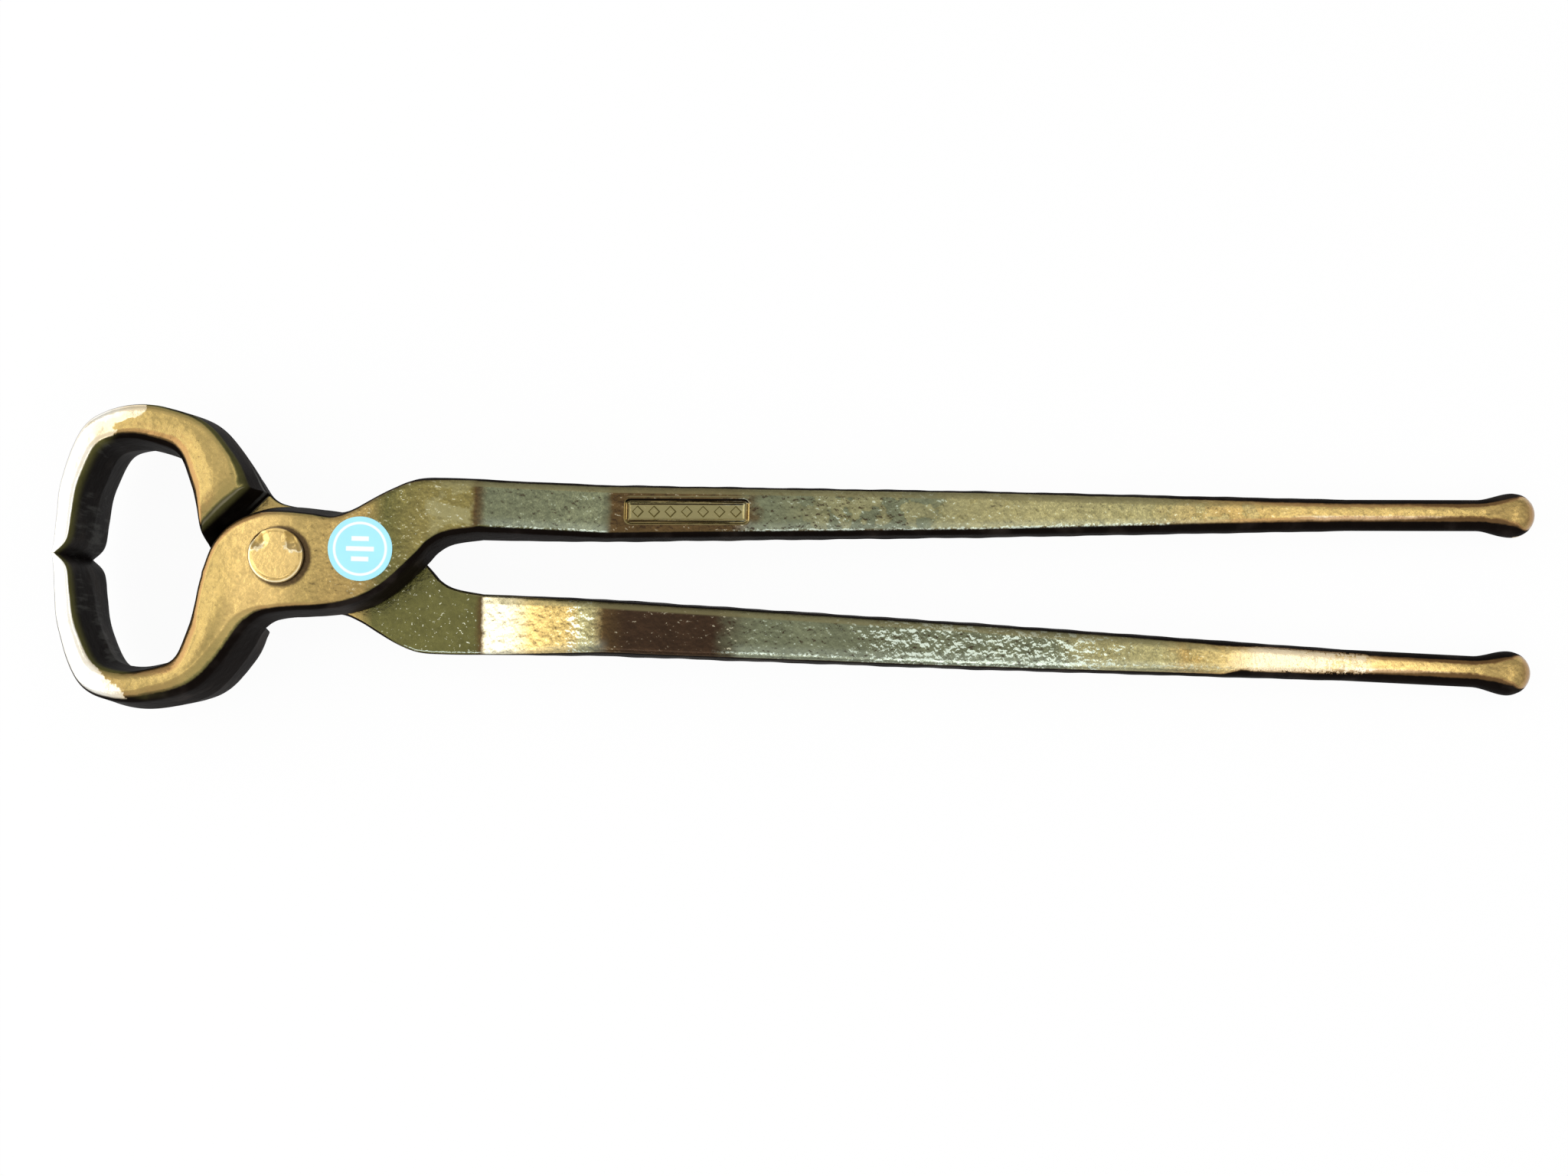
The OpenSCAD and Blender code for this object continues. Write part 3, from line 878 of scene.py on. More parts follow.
def rivet_rings(r):
    """The rivet from its tail's middle up to its head's, as rings of points."""
    radius, shank = r.head / 2, r.shank / 2
    turn = np.linspace(0, 2 * pi, RIVET_POINTS, endpoint=False)
    tail = RIVET_LOW.z / MM
    head = RIVET_HIGH.z / MM - r.head_high

    def ring(reach, z, centre=0.0):
        return np.stack([reach * np.cos(turn), centre + reach * np.sin(turn), z + 0 * turn], 1)

    rings = [np.array([[0, 0, tail]])]
    rings += [ring(reach, tail) for reach in np.linspace(0.8, radius - r.crown, 5)]
    high = r.head_high
    edge = (r.crown / 3, r.rim / 2), (0.1, 1.2 * r.rim), (0, 2.2 * r.rim), (0, high - r.rim), (r.rim, high)
    for short, up in edge:
        rings.append(ring(radius - short, tail + up))
    rings += [ring(shank, tail + high), ring(shank, head)]
    rings += [ring(radius - r.rim, head, r.shift), ring(radius, head + r.rim, r.shift)]
    for reach in radius * np.array([1, 0.995, 0.985, *np.linspace(0.97, 0.04, 36)]):
        skin = ring(reach, head, r.shift)
        skin[:, 2] += np.maximum(dented(r, reach * np.cos(turn), reach * np.sin(turn)), 2 * r.rim)
        rings.append(skin)
    rings.append(np.array([[0, r.shift, rings[-1][:, 2].mean()]]))
    return rings


def label_rings():
    """The label's disc as rings of points, its cut edge slightly uneven."""
    turn = np.linspace(0, 2 * pi, LABEL_POINTS, endpoint=False)
    edge = LABEL_R * (0.996 + 0.004 * np.sin(5 * turn + 1) * np.sin(2 * turn))
    low, high = LABEL_LOW.z / MM, LABEL_HIGH.z / MM
    steps = [(t, low) for t in np.linspace(0.1, 0.985, 9)]
    steps += [(1, low + 0.03), (1, high - 0.04), (0.996, high - 0.012), (0.988, high)]
    steps += [(t, high) for t in np.linspace(0.97, 0.04, 28)]
    rings = [np.array([[LABEL_X, LABEL_Y, low]])]
    for t, z in steps:
        sag = 0.012 * np.sin(0.9 * edge * t * np.cos(turn)) * (z > low + 0.1) * (t < 0.97)
        x, y = LABEL_X + edge * t * np.cos(turn), LABEL_Y + edge * t * np.sin(turn)
        rings.append(np.stack([x, y, z - np.abs(sag)], 1))
    rings.append(np.array([[LABEL_X, LABEL_Y, high]]))
    return rings


# The lacquer's colours from place to place along each half, in millimetres from the pivot. They are painted
# reflections: the dark brown, grey-green and white-gold bands stand for what the glossy lacquer reflects
# there.
FRONT_ZONES = (
    (-40, "dull"), (-33, "tan"), (-14, "tan"), (-8, "pale"), (-1, "pale"), (5.5, "tan"), (15, "dull"),
    (20, "dull"), (25, "moss"), (34, "olive"), (45.4, "olive"), (46.2, "brown"), (47.6, "brown"),
    (48.4, "slate"), (76.9, "slate"), (77.7, "brown"), (109, "brown"), (113, "slate"), (155, "slate"),
    (166, "straw"), (206, "straw"), (228, "dull"), (240, "tan"), (285, "tan"), (293, "dull"),
)
BACK_ZONES = (
    (-53.5, "tan"), (16, "tan"), (20, "moss"), (45.6, "moss"), (46.4, "brown"), (47, "brown"),
    (47.6, "cream_highlight"), (53, "cream_highlight"), (59, "pale"), (64, "tan"), (69.5, "tan"), (71, "straw"),
    (73.5, "straw"), (76.5, "brown"), (82, "umber_and_shade"), (104, "umber_and_shade"), (113, "slate"), (186, "slate"),
    (196, "straw"), (212, "straw"), (218, "dull"), (224, "tan"), (229, "pale"), (276, "pale"),
    (286, "tan"), (293, "dull"),
)

# Where each kind of mark lies on a half, as (from, to, softness, strength) in millimetres from the pivot.
# The side is the one that the rein is on, and bow is how much the border of the painted white highlight
# on the jaw end curves. Most kinds place painted light: white highlights, sparkles, a shine line, lines
# along the edges and roundings painted as lighter, with painted shade on one side of the dents among the
# dark marks and the grain, and one front stripe of painted reflection.
FRONT_WEAR = SimpleNamespace(
    side=1,
    bow=100.0,
    painted_lit=((48, 77, 2, 0.05),),
    painted_gleam=((246, 280, 6, 0.9),),
    grain=((-48, 6, 3, 0.6), (6, 24, 3, 1.6), (24, 300, 2, 2.2)),
    pools=((36, 46, 1, 1), (125, 236, 10, 1)),
    painted_streak=((35, 45.5, 0.5, 0.8),),
    pits_and_shade=((-50, 8, 4, 0.3), (8, 22, 2, 0.55), (50, 76, 1, 0.9), (78, 150, 1, 1.2), (150, 240, 6, 0.6)),
    specks=((-50, 6, 4, 0.25), (6, 34, 4, 0.6), (78, 112, 1, 1), (112, 240, 4, 0.6)),
    painted_glints=((16, 46, 3, 0.6), (49, 76, 2, 0.4), (78, 112, 2, 0.5), (118, 176, 8, 0.6), (176, 275, 8, 0.4)),
    painted_dots=((12, 46, 3, 0.6), (110, 240, 4, 0.4)),
    bright=((-80, -36.5, 0.4, 1),),
    edge=((48, 77, 1, 0.9), (108, 215, 6, 0.8)),
)
BACK_WEAR = SimpleNamespace(
    side=-1,
    bow=650.0,
    painted_lit=((25, 229, 3, 0.4),),
    painted_gleam=((256, 282, 5, 0.7),),
    grain=((-48, 20, 3, 0.6), (20, 46.5, 1, 0.7), (47, 77, 0.5, 4), (77, 300, 1, 2.2)),
    pools=((190, 236, 6, 0.7),),
    painted_streak=(),
    pits_and_shade=((-50, 16, 4, 0.5), (56, 77, 4, 0.3), (80, 190, 2, 1), (190, 262, 4, 0.3)),
    specks=((-50, 16, 4, 0.25), (47, 77, 1, 0.6), (78, 262, 4, 0.6)),
    painted_glints=(
        (60, 71, 3, 0.5), (68, 75, 1, 0.9), (78, 108, 2, 0.4), (108, 140, 8, 0.5), (140, 200, 8, 1.3),
        (200, 228, 4, 0.5),
    ),
    painted_dots=((20, 46, 2, 1), (110, 240, 4, 0.5)),
    bright=((-80, -31.8, 0.4, 1), (232, 262, 5, 0.95)),
    edge=((28, 46.5, 1, 1.6), (108, 205, 6, 1), (205, 228, 3, 0.3)),
)
HEEL_SPAN = ((-24, -3, 2, 1),)


def weight(along, spans):
    """The strength that the spans give at a place along the tool."""
    total = 0.0
    for start, end, soft, strength in spans:
        inside = along.rise((start - soft) * MM, (start + soft) * MM) * strength
        total = inside * along.rise((end + soft) * MM, (end - soft) * MM) + total
    return total


class Steel(Material):
    """The steel of one half, with the masks, directions and noises that its layers share.

    Places are in metres from the pivot. A mask is 1 on what it is named for."""

    def __init__(self, name, finish, f, wear):
        super().__init__(name, finish)
        self.wear = wear
        x = self.x
        facing = self.node("ShaderNodeAttribute", {"attribute_name": "facing"}, None, "Vector")
        self.facing_x, self.facing_y, self.facing_z = self.split(facing)
        self.jaw, self.plain = x.rise(0.02, 0.0), x.rise(0.03, 0.01)
        self.slender, self.knob = x.rise(0.2, 0.245), x.rise(0.292, 0.2985)
        # Whether a rounding faces +x or -x, which picks between olive and warm painted reflections on it.
        inwards = (self.facing_x + self.facing_y.least(0.0) * 0.35).rise(-0.15, 0.15)
        self.inwards = inwards * (1.0 - self.slender)

        # The distance outwards from the rein's middle line, half its width, and how flat the skin lies,
        # which on the round ends is measured across their run.
        past_joggle = x - straight_from(f) * MM
        self.across = self.y - (f.rein_offset * MM + past_joggle.most(0.0) * rein_slope(f)) * wear.side
        self.half_width = f.rein_width / 2 * MM - past_joggle * HALF_TAPER
        girth = (self.facing_y * self.facing_y + self.facing_z * self.facing_z).root().most(0.05)
        self.flat = abs(self.facing_z) * (1.0 + (1.0 / girth - 1.0) * x.rise(0.25, 0.27))

        # Noises from slow to fine, about zero but for the specks. The dents are the slope of one, painted as
        # shade on one side and as light on the other.
        self.melt = self.noise(0.006, 4, (0.3, 0, 0), 0.6) - 0.5
        self.ragged = self.noise(0.0014, 3, (0, 0.7, 0), 0.6) - 0.5
        self.mottle = self.noise(0.0032, 5, (0.1, 0.2, 0.3), 0.7) - 0.5
        self.cloud = self.noise(0.012, 2, (0.5, 0, 0.1)) - 0.5
        self.specks = self.noise(0.0007, 2, (0.2, 0.9, 0.4), 0.6)
        near, far = (self.noise(0.0018, 3, place, 0.55) for place in ((0.9, 0.1, 0), (0.90006, 0.10034, 0)))
        self.dents = near - far

    def span(self, kind):
        """The strength of one kind of mark."""
        return weight(self.x, getattr(self.wear, kind))

    def marks(self, pattern, kind, limit, gain, soft):
        """Spots where a pattern passes its limit, more of them where their kind is stronger."""
        density = self.span(kind)
        return (pattern + density * gain - limit).rise(0.0, soft) * density.least(1.0)


def lacquer(m, zones):
    """The zones of painted reflection along the tool, with pools of thin lacquer, its grain with painted
    relief shading, a painted shine on the -y edges and one painted pale reflection stripe.
    """
    x, ragged = m.x, m.ragged
    low, high = FRONT_LOW.x / MM, FRONT_HIGH.x / MM
    along = x + m.melt * (0.002 + 0.014 * x.rise(0.085, 0.12)) + ragged * 0.0012
    stops = [((place - low) / (high - low), getattr(m.finish, shade)) for place, shade in zones]
    tint = m.node("ShaderNodeValToRGB", {"stops": stops}, {"Fac": (along / MM - low) / (high - low)})

    pool = m.noise(0.0075, 3, (0.8, 0.4, 0), 0.55) + ragged * 0.05
    pools = m.span("pools")
    tint = m.laid(
        tint,
        (pool.rise(0.5, 0.515) * pools * 0.55, "straw"),
        (pool.rise(0.485, 0.5) * pool.rise(0.515, 0.5) * pools * 0.4, "olive"),
    )
    # The dents add painted light and shade to the grain, as if lit from one side.
    grain = m.mottle * (0.85 - m.plain * 0.4) + m.cloud * 0.4 + m.dents * m.span("grain")
    tint = m.tone(1.0 - m.plain * 0.05 + grain, tint)

    # A painted shine on the edges that face -y.
    painted_sheen = (-m.facing_y).rise(0.0, 0.1) * x.rise(0.047, 0.05) * (1.0 - m.slender)
    off_panel = abs(x - 0.093).rise(0.014, 0.017)
    # A painted pale reflection along one stripe before the front half's joggle.
    painted_streak = (abs(m.y - 0.0122 + (x - 0.04) * 0.2) + ragged * 0.0012).rise(0.0019, 0.0015)
    return m.laid(
        tint,
        (painted_sheen * off_panel * 0.12, "glint"),
        (painted_streak * weight(x + ragged * 0.002, m.wear.painted_streak), "straw"),
    )


def pits_and_painted_glints(m, tint):
    """Dark marks, partly painted shade on one side of the dents and partly dark specks, and painted sparkles
    of light, which are warm before the joggle and beside the panel.
    """
    # Dark marks are painted shade on one side of the dents, together with dark specks; light points are
    # painted sparkles of the lamps.
    pits_and_shade = m.marks(-m.dents, "pits_and_shade", 0.16, 0.08, 0.05) + m.marks(1.0 - m.specks, "specks", 0.72, 0.08, 0.06)
    points = m.marks(m.dents, "painted_glints", 0.15, 0.11, 0.06) + m.marks(m.specks, "painted_dots", 0.72, 0.06, 0.05)
    # The painted sparkles are warmer before the joggle and beside the panel.
    warm = (m.x.rise(0.05, 0.04) * 0.55).most(abs(m.x - 0.094).rise(0.02, 0.015) * 0.8)
    return m.laid(
        tint,
        (pits_and_shade.least(1.0) * 0.8, "umber_and_shade"),
        (points.least(1.0) * 0.9, m.mix(warm, "glint", "cream_highlight")),
    )


def face_share_and_painted_light(m):
    """How far a point belongs to the lacquered face rather than to the black sides.

    This is painted light from one side: skin facing +y and skin facing -x turn out lighter, as do the knob's
    +x side and the -y roundings in the marked spans, so the other side's edges are left black."""
    level = m.flat + m.facing_y * (0.2 - m.slender * 0.06) + m.facing_x * -0.1 * (1.0 - m.knob)
    level = level + m.knob * (m.facing_x.most(0.0) * 0.5 + 0.12)
    return level + (-m.facing_y).rise(0.0, 0.3) * m.span("painted_lit")


def top_marks(m, f, stamp, tint, level):
    """What only the upper half has: the panel's pale floor, a painted highlight on its rim with painted shade
    on the rim's walls that face -y, and a painted shadow round the rivet.
    """
    along = abs(m.x - stamp.place * MM)
    across = abs(m.y - float(rein_line(f, stamp.place)) * MM)

    def panel(more_long, more_wide, soft):
        long, wide = stamp.run / 2 * MM + more_long, stamp.width / 2 * MM + more_wide
        return along.rise(long, long - soft) * across.rise(wide, wide - soft)

    floor = panel(-0.0005, -0.0004, 0.0005)
    # The rim's slopes get a painted highlight, and its walls that face -y get painted shade.
    rim = panel(0.002, 0.0013, 0.0006) * m.facing_z.rise(0.05, 0.2)
    # A painted shadow round the rivet's head, widest to its right.
    stain_and_shadow = (m.reach(0.0009, 0.0005) + m.ragged * 0.0006).rise(0.0078, 0.0068)
    tint = m.laid(
        tint,
        (floor * 0.7, "straw"),
        (rim * m.facing_z.rise(0.97, 0.85) * 0.8, "tan"),
        (stain_and_shadow * 0.92, "umber_and_shade"),
    )
    return tint, level.most(rim * (0.99 + m.facing_y.least(0.0) * 0.7))


def polish(m, tint):
    """Painted highlights: the white jaw end, the back rein's white length and a shine line along the slender
    ends.

    Returns the tint and the share of what is painted white."""
    bow = abs(m.y) - 0.0345
    bow = (bow * bow * m.wear.bow).least(0.0075) * m.x.rise(0.01, 0.0)
    border = m.x + bow + m.melt * 0.01 + m.ragged * 0.003
    flecks = (m.specks + m.melt * 0.5 + (m.x - 0.243) * 6.0).rise(0.56, 0.68) * m.x.rise(0.225, 0.235)
    # The painted white highlight on the jaw ends and the back rein's length, broken by flecks.
    bright = weight(border, m.wear.bright) * (1.0 - flecks * 0.7)
    # A painted highlight line along the slender ends.
    painted_gleam = abs(m.across + 0.0013 + m.ragged * 0.0004).rise(0.0011, 0.0003) * m.span("painted_gleam")
    tint = m.laid(
        tint,
        (bright.least(1.0), m.mix(border.rise(-0.043, -0.034) * 0.6, "polished", "pale")),
        (painted_gleam * 0.8, m.mix(0.4, "polished", "cream_highlight")),
    )
    return tint, bright


def painted_edge_light(m, tint, edge, bright):
    """Painted light where the skin turns down: a painted reflection along the upper edges, painted shade on
    the knob's +x side, a painted warm reflection on the rounded edges, painted shade where the roundings fall
    off, and a painted highlight line on the -y edges.
    """
    # A painted reflection along the upper roundings and the upper strip of the reins' faces.
    matt = (m.across + m.ragged * 0.0003 - m.half_width).rise(-0.0024, -0.0021) * m.x.rise(0.046, 0.052)
    upper = m.facing_y.rise(0.1, 0.2).most(matt) * (1.0 - bright) * m.x.rise(0.03, 0.05) * (1.0 - m.slender)
    # The jaws' inner edges that face -x, which get the painted warm reflection below.
    inner = (m.flat + m.ragged * 0.03).rise(0.998, 0.94) * (-m.facing_x).rise(0.0, 0.12) * m.jaw
    rim = (edge.rise(1.0, 0.955) * (1.0 - upper)).most(inner) * (1.0 - bright * (1.0 - m.slender * 0.5))
    # Painted shade where the roundings fall off towards the black sides.
    painted_edge_shade = edge.rise(0.93 - m.jaw * 0.06, 0.85 - m.jaw * 0.04) * (1.0 - upper) * (1.0 - bright * 0.2)
    # A painted highlight line along the -y edges, broken up by noise.
    side = -m.facing_y + m.ragged * 0.5 + m.dents * 0.6
    painted_edge_glint = side.rise(0.2, 0.28) * side.rise(0.46, 0.38) * m.span("edge")
    painted_edge_glint = painted_edge_glint * (m.specks + m.cloud * 0.8).rise(0.35, 0.6)
    return m.laid(
        tint,
        (upper * 0.7, "painted_upper_band"),
        # Painted shade on the knob's +x side.
        (m.facing_x.rise(0.15, 0.75) * m.knob * 0.85, "painted_warm_edge"),
        (rim * m.jaw.most(m.slender) * (0.85 - m.inwards * 0.4), m.mix(m.inwards, "painted_warm_edge", "olive")),
        (painted_edge_shade * 0.85, m.mix(m.inwards, "brown", "moss")),
        (painted_edge_glint.least(1.0), "glint"),
    )


def scale_and_painted_reflections(m, edge, heel):
    """Black scale on the sides, also painted dark reflection, smeared, with painted grey reflection streaks,
    moss high on the jaws' inner walls and at the heel, a painted highlight line at the heel's foot and
    painted brown shade along the slender ends' roundings.
    """
    smear = m.noise(0.009, 3, (0.1, 0.6, 0.2), 0.5).rise(0.5, 0.72)
    # Painted grey reflection streaks on the jaws' inner walls.
    rubbed = m.noise(0.0016, 3, (0.3, 0.2, 0), 0.6, (1, 1, 0.12)) + m.noise(0.014, 1, (0.6, 0.1, 0.3))
    rubbed = rubbed.rise(1.02, 1.3) * m.x.rise(-0.02, -0.03) * m.facing_x.rise(0.2, 0.5)
    high = m.z.rise(0.0235, 0.0285)
    # A painted highlight line at the heel's foot.
    foot = abs(m.z + m.ragged * 0.001 - 0.0175).rise(0.0011, 0.0003) * m.x.rise(-0.012, -0.006)
    return m.laid(
        m.mix(smear * 0.7, "scale", "smoke"),
        (rubbed * 0.45, "painted_grey_streak"),
        (high * high * m.x.rise(-0.024, -0.032) * m.inwards * 0.85, "moss"),
        (heel * m.z.rise(0.0255, 0.0285) * 0.6, "moss"),
        (foot * heel * 0.8, "painted_grey_streak"),
        # Painted brown shade along the slender ends' roundings.
        (edge.rise(0.82, 0.9) * m.slender * 0.4, "painted_warm_edge"),
    )


def steel(name, finish, f, stamp, zones, wear):
    """Lacquered forged steel: painted reflections along the tool, pitted, with black forge scale on the sides
    that also stands for painted dark reflection.
    """
    m = Steel(name, finish, f, wear)
    tint, level = pits_and_painted_glints(m, lacquer(m, zones)), face_share_and_painted_light(m)
    if wear.side > 0:
        tint, level = top_marks(m, f, stamp, tint, level)
    tint, bright = polish(m, tint)
    # The face's share follows the painted light, and on the slender ends the neck narrows it.
    edge = level + (m.specks - 0.5) * 0.04 + m.melt * 0.06 + m.ragged * 0.04 + bright * 0.14
    neck = m.x.rise(0.262, 0.284) * (1.0 - m.knob)
    face = edge.rise(
        0.78 + m.slender * 0.08 + neck * 0.09 - m.jaw * 0.05,
        0.9 + m.slender * 0.05 + neck * 0.05 - m.jaw * 0.06,
    )
    heel = weight(m.x, HEEL_SPAN) * m.facing_x.rise(0.2, 0.5) * m.y.rise(-0.002, 0.003)
    soot = m.tone(0.85 + m.mottle * 0.8, scale_and_painted_reflections(m, edge, heel))
    # A painted highlight along the heel's ridge.
    painted_ridge_highlight = edge.rise(0.5, 0.66) * edge.rise(0.82, 0.7) * heel * (-m.facing_y).rise(0.1, 0.4)
    shade = m.mix(painted_ridge_highlight * (0.2 + m.cloud), m.mix(face, soot, painted_edge_light(m, tint, edge, bright)), "cream_highlight")

    grain, peel = m.noise(0.0008, 3, (0.4, 0.4, 0), 0.55), m.noise(0.0022, 3, (0.9, 0.1, 0), 0.5)
    return m.surface(
        Base_Color=shade,
        Metallic=face * 0.95,
        Roughness=0.6 - face * (0.34 - m.mottle * 0.15) - bright * 0.05,
        Coat_Weight=face * 0.15,
        Coat_Roughness=0.08,
        Specular_IOR_Level=0.02,
        Normal=m.bump(0.45, 0.0004, grain * (0.35 - m.plain * 0.2) + peel * 0.8),
    )


def rivet_steel(finish, rivet):
    """Peened steel under the same golden lacquer, pooled in the dents, with painted highlights on the dents'
    lower edges and the rim's lower left, a painted shade line inside the rim, and painted shade round the
    rim.
    """
    m = Material("Peened rivet", finish, (0, rivet.shift, 0))
    ragged = m.noise(0.0016, 3, (0, 0.7, 0), 0.6) - 0.5
    mottle = m.noise(0.003, 4, (0, 0, 0), 0.6) - 0.5
    stain_and_shadow = m.noise(0.0011, 3, (0.3, 0, 0), 0.6).rise(0.56, 0.66)
    torn = (m.noise(0.0034, 3, (0.2, 0.3, 0), 0.6) - 0.5) * 0.0045 + ragged * 0.0012
    top, out = m.z.rise(0.029, 0.0295), m.reach()
    tint = m.mix(stain_and_shadow * 0.25, m.tone(1.0 + mottle * 0.4, "pale"), "dull")
    for x, y, size in LACQUER_POOLS:
        away = m.reach(x, y) + torn - out.rise(0.0048, 0.0062) * 0.0008
        # Painted highlights on the lower edges of the pooled dents.
        rim = away.rise(size + 0.0006, size + 0.0002) * (m.y - y).rise(0.0006, -0.0008)
        tint = m.laid(
            tint,
            (rim * top * 0.65, "cream_highlight"),
            (away.rise(size + 0.0002, size - 0.0003) * top * 0.85, "ochre"),
            (away.rise(size * 0.55, size * 0.3) * top * 0.5, "tan"),
        )
    # A painted shade line inside the rim, and painted highlights on the rim's lower left.
    painted_shade_line = abs(out + ragged * 0.0006 - 0.0057).rise(0.0003, 0.0001) * ragged.rise(-0.2, 0.1)
    lip = abs(out + ragged * 0.0002 - 0.0062).rise(0.00022, 0.00008) * (-m.y - m.x * 0.5).rise(-0.005, 0.003)
    return m.surface(
        Base_Color=m.laid(
            tint,
            (painted_shade_line * top * 0.55, "ochre"),
            (lip * top * 0.75, "cream_highlight"),
            # Painted shade round the rim's outer edge.
            (out.rise(0.0063, 0.0065) * 0.8, "umber_and_shade"),
        ),
        Metallic=0.95,
        Roughness=0.24 + mottle * 0.12,
        Coat_Weight=0.25,
        Coat_Roughness=0.08,
        Specular_IOR_Level=0.1,
        Normal=m.bump(0.3, 0.0003, m.noise(0.001, 3)),
    )


def label_film(finish, sizes):
    """Light blue film with a white ring and three white bars."""
    m = Material("Label film", finish, (LABEL_X * MM, LABEL_Y * MM, 0))

    def within(distance, edge):
        return distance.rise(edge + PRINT_BLUR, edge - PRINT_BLUR)

    white = within(abs(m.reach() - sizes.ring), sizes.ring_line / 2)
    for row, share in ((-1, 0.62), (0, 1.0), (1, 0.62)):
        line = within(abs(m.y - row * sizes.bar_pitch), sizes.bar_line / 2)
        white = white.most(line * within(abs(m.x), sizes.bar * share / 2))
    wear = m.noise(0.0012, 3, (0, 0.3, 0), 0.6).rise(0.6, 0.75)
    shade = m.mix(white * (1 - wear * 0.25), "blue", "print")
    shade = m.tone(1.0 + (m.noise(0.006, 2) - 0.5) * 0.08, shade)
    return m.surface(Base_Color=shade, Roughness=0.42 + wear * 0.2, Specular_IOR_Level=0.3)


def hand_over(piece, node, body):
    """Gives a finished piece its place in the frame."""
    piece.data.set_sharp_from_angle(angle=SHARP_ANGLE)
    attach(piece, body)
    if node:
        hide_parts(node)


def forge_half(scene, body, zones, wear):
    """Builds, drills, roughens and colours one half. Returns its steel."""
    f, stamp = millimetres(scene.puller_forging), millimetres(scene.puller_stamp)
    surface = scene.puller_surface
    rings = np.array(head_rings(f) + rein_rings(f, stamp) + knob_rings(f))
    if wear.side > 0:
        sink_panel(rings, f, stamp)
    else:
        rings *= (1, -1, -1)
    rings[..., 2] += PIVOT.z / MM
    name = body + "_forging"
    material = steel(name + " steel", scene.puller_finish, f, stamp, zones, wear)
    piece = loft(name, rings, material)
    bore_out(piece, f.bore)
    mark_faces(piece, wear.side)
    tree, sockets = forged_skin_tree()
    run_tree(piece, tree, sockets, {
        "Swell": surface.swell, "Swell Size": surface.swell_size, "Peel": surface.peel,
        "Peel Size": surface.peel_size, "Seed": float(surface.seed + wear.side), "Material": material,
    })
    hand_over(piece, body + "_half", body)
    return material


def raise_lozenges(scene, material):
    """Sets the row of lozenges on the sunk panel's floor, which slopes and spreads with the rein."""
    f, stamp = millimetres(scene.puller_forging), millimetres(scene.puller_stamp)
    taper = (f.end_thick - f.thick) / 2 / (f.knob_end - f.end_run - straight_from(f))
    pitch = (stamp.run - 2 * LOZENGE_MARGIN) / max(stamp.studs - 1, 1)
    step = Vector((1, rein_slope(f), taper)) * pitch * MM
    floor = f.thick / 2 + (stamp.place - straight_from(f)) * taper - stamp.depth - LOZENGE_SINK
    middle = Vector((stamp.place, float(rein_line(f, stamp.place)), floor)) * MM
    row = bpy.data.objects.new("stamp_lozenges", bpy.data.meshes.new("stamp_lozenges"))
    scene.collection.objects.link(row)
    tree, sockets = lozenge_row_tree()
    run_tree(row, tree, sockets, {
        "Count": stamp.studs,
        "Start": middle + Vector((0, 0, PIVOT.z)) - step * (stamp.studs - 1) / 2,
        "Step": step,
        "Size": Vector((stamp.stud_long, stamp.stud_wide, stamp.stud_high + LOZENGE_SINK)) * MM,
        "Turn": (0.0, 0.0, rein_slope(f)),
        "Material": material,
    })
    mark_faces(row, 1, flat=True)
    hand_over(row, None, "front")


class PULLER_OT_front_half(bpy.types.Operator):
    """Forge the front half, with its sunk panel and the lozenges in it"""

    bl_idname = "puller.front_half"
    bl_label = "Front half"

    def execute(self, context):
        raise_lozenges(context.scene, forge_half(context.scene, "front", FRONT_ZONES, FRONT_WEAR))
        return {"FINISHED"}


class PULLER_OT_back_half(bpy.types.Operator):
    """Forge the back half"""

    bl_idname = "puller.back_half"
    bl_label = "Back half"

    def execute(self, context):
        forge_half(context.scene, "back", BACK_ZONES, BACK_WEAR)
        return {"FINISHED"}


class PULLER_OT_rivet(bpy.types.Operator):
    """Peen the rivet"""

    bl_idname = "puller.rivet"
    bl_label = "Rivet"

    def execute(self, context):
        rivet = context.scene.puller_rivet
        material = rivet_steel(context.scene.puller_finish, rivet)
        piece = turned("peened_rivet", rivet_rings(millimetres(rivet)), material)
        hand_over(piece, "rivet", "back")
        return {"FINISHED"}


class PULLER_OT_label(bpy.types.Operator):
    """Stick the label on the front half"""

    bl_idname = "puller.label"
    bl_label = "Label"

    def execute(self, context):
        material = label_film(context.scene.puller_finish, context.scene.puller_label)
        piece = turned("label_disc", label_rings(), material)
        hand_over(piece, "label", "front")
        return {"FINISHED"}


def set_camera(scene, stage):
    """The camera of the photograph's view."""
    camera = bpy.data.objects.new("Camera", bpy.data.cameras.new("Camera"))
    camera.location = stage.eye
    camera.rotation_euler = (0, 0, stage.roll)
    camera.data.lens = stage.lens
    camera.data.sensor_width = 36
    camera.data.shift_x, camera.data.shift_y = stage.shift
    scene.collection.objects.link(camera)
    scene.camera = camera
    scene.view_settings.view_transform = "Standard"


def ray_kinds(tree):
    """1 for the camera's rays, those off glossy surfaces and those through clear ones, in this order."""
    kinds = "Camera", "Glossy", "Transmission"
    return [add(tree, "ShaderNodeLightPath", output=f"Is {kind} Ray") for kind in kinds]


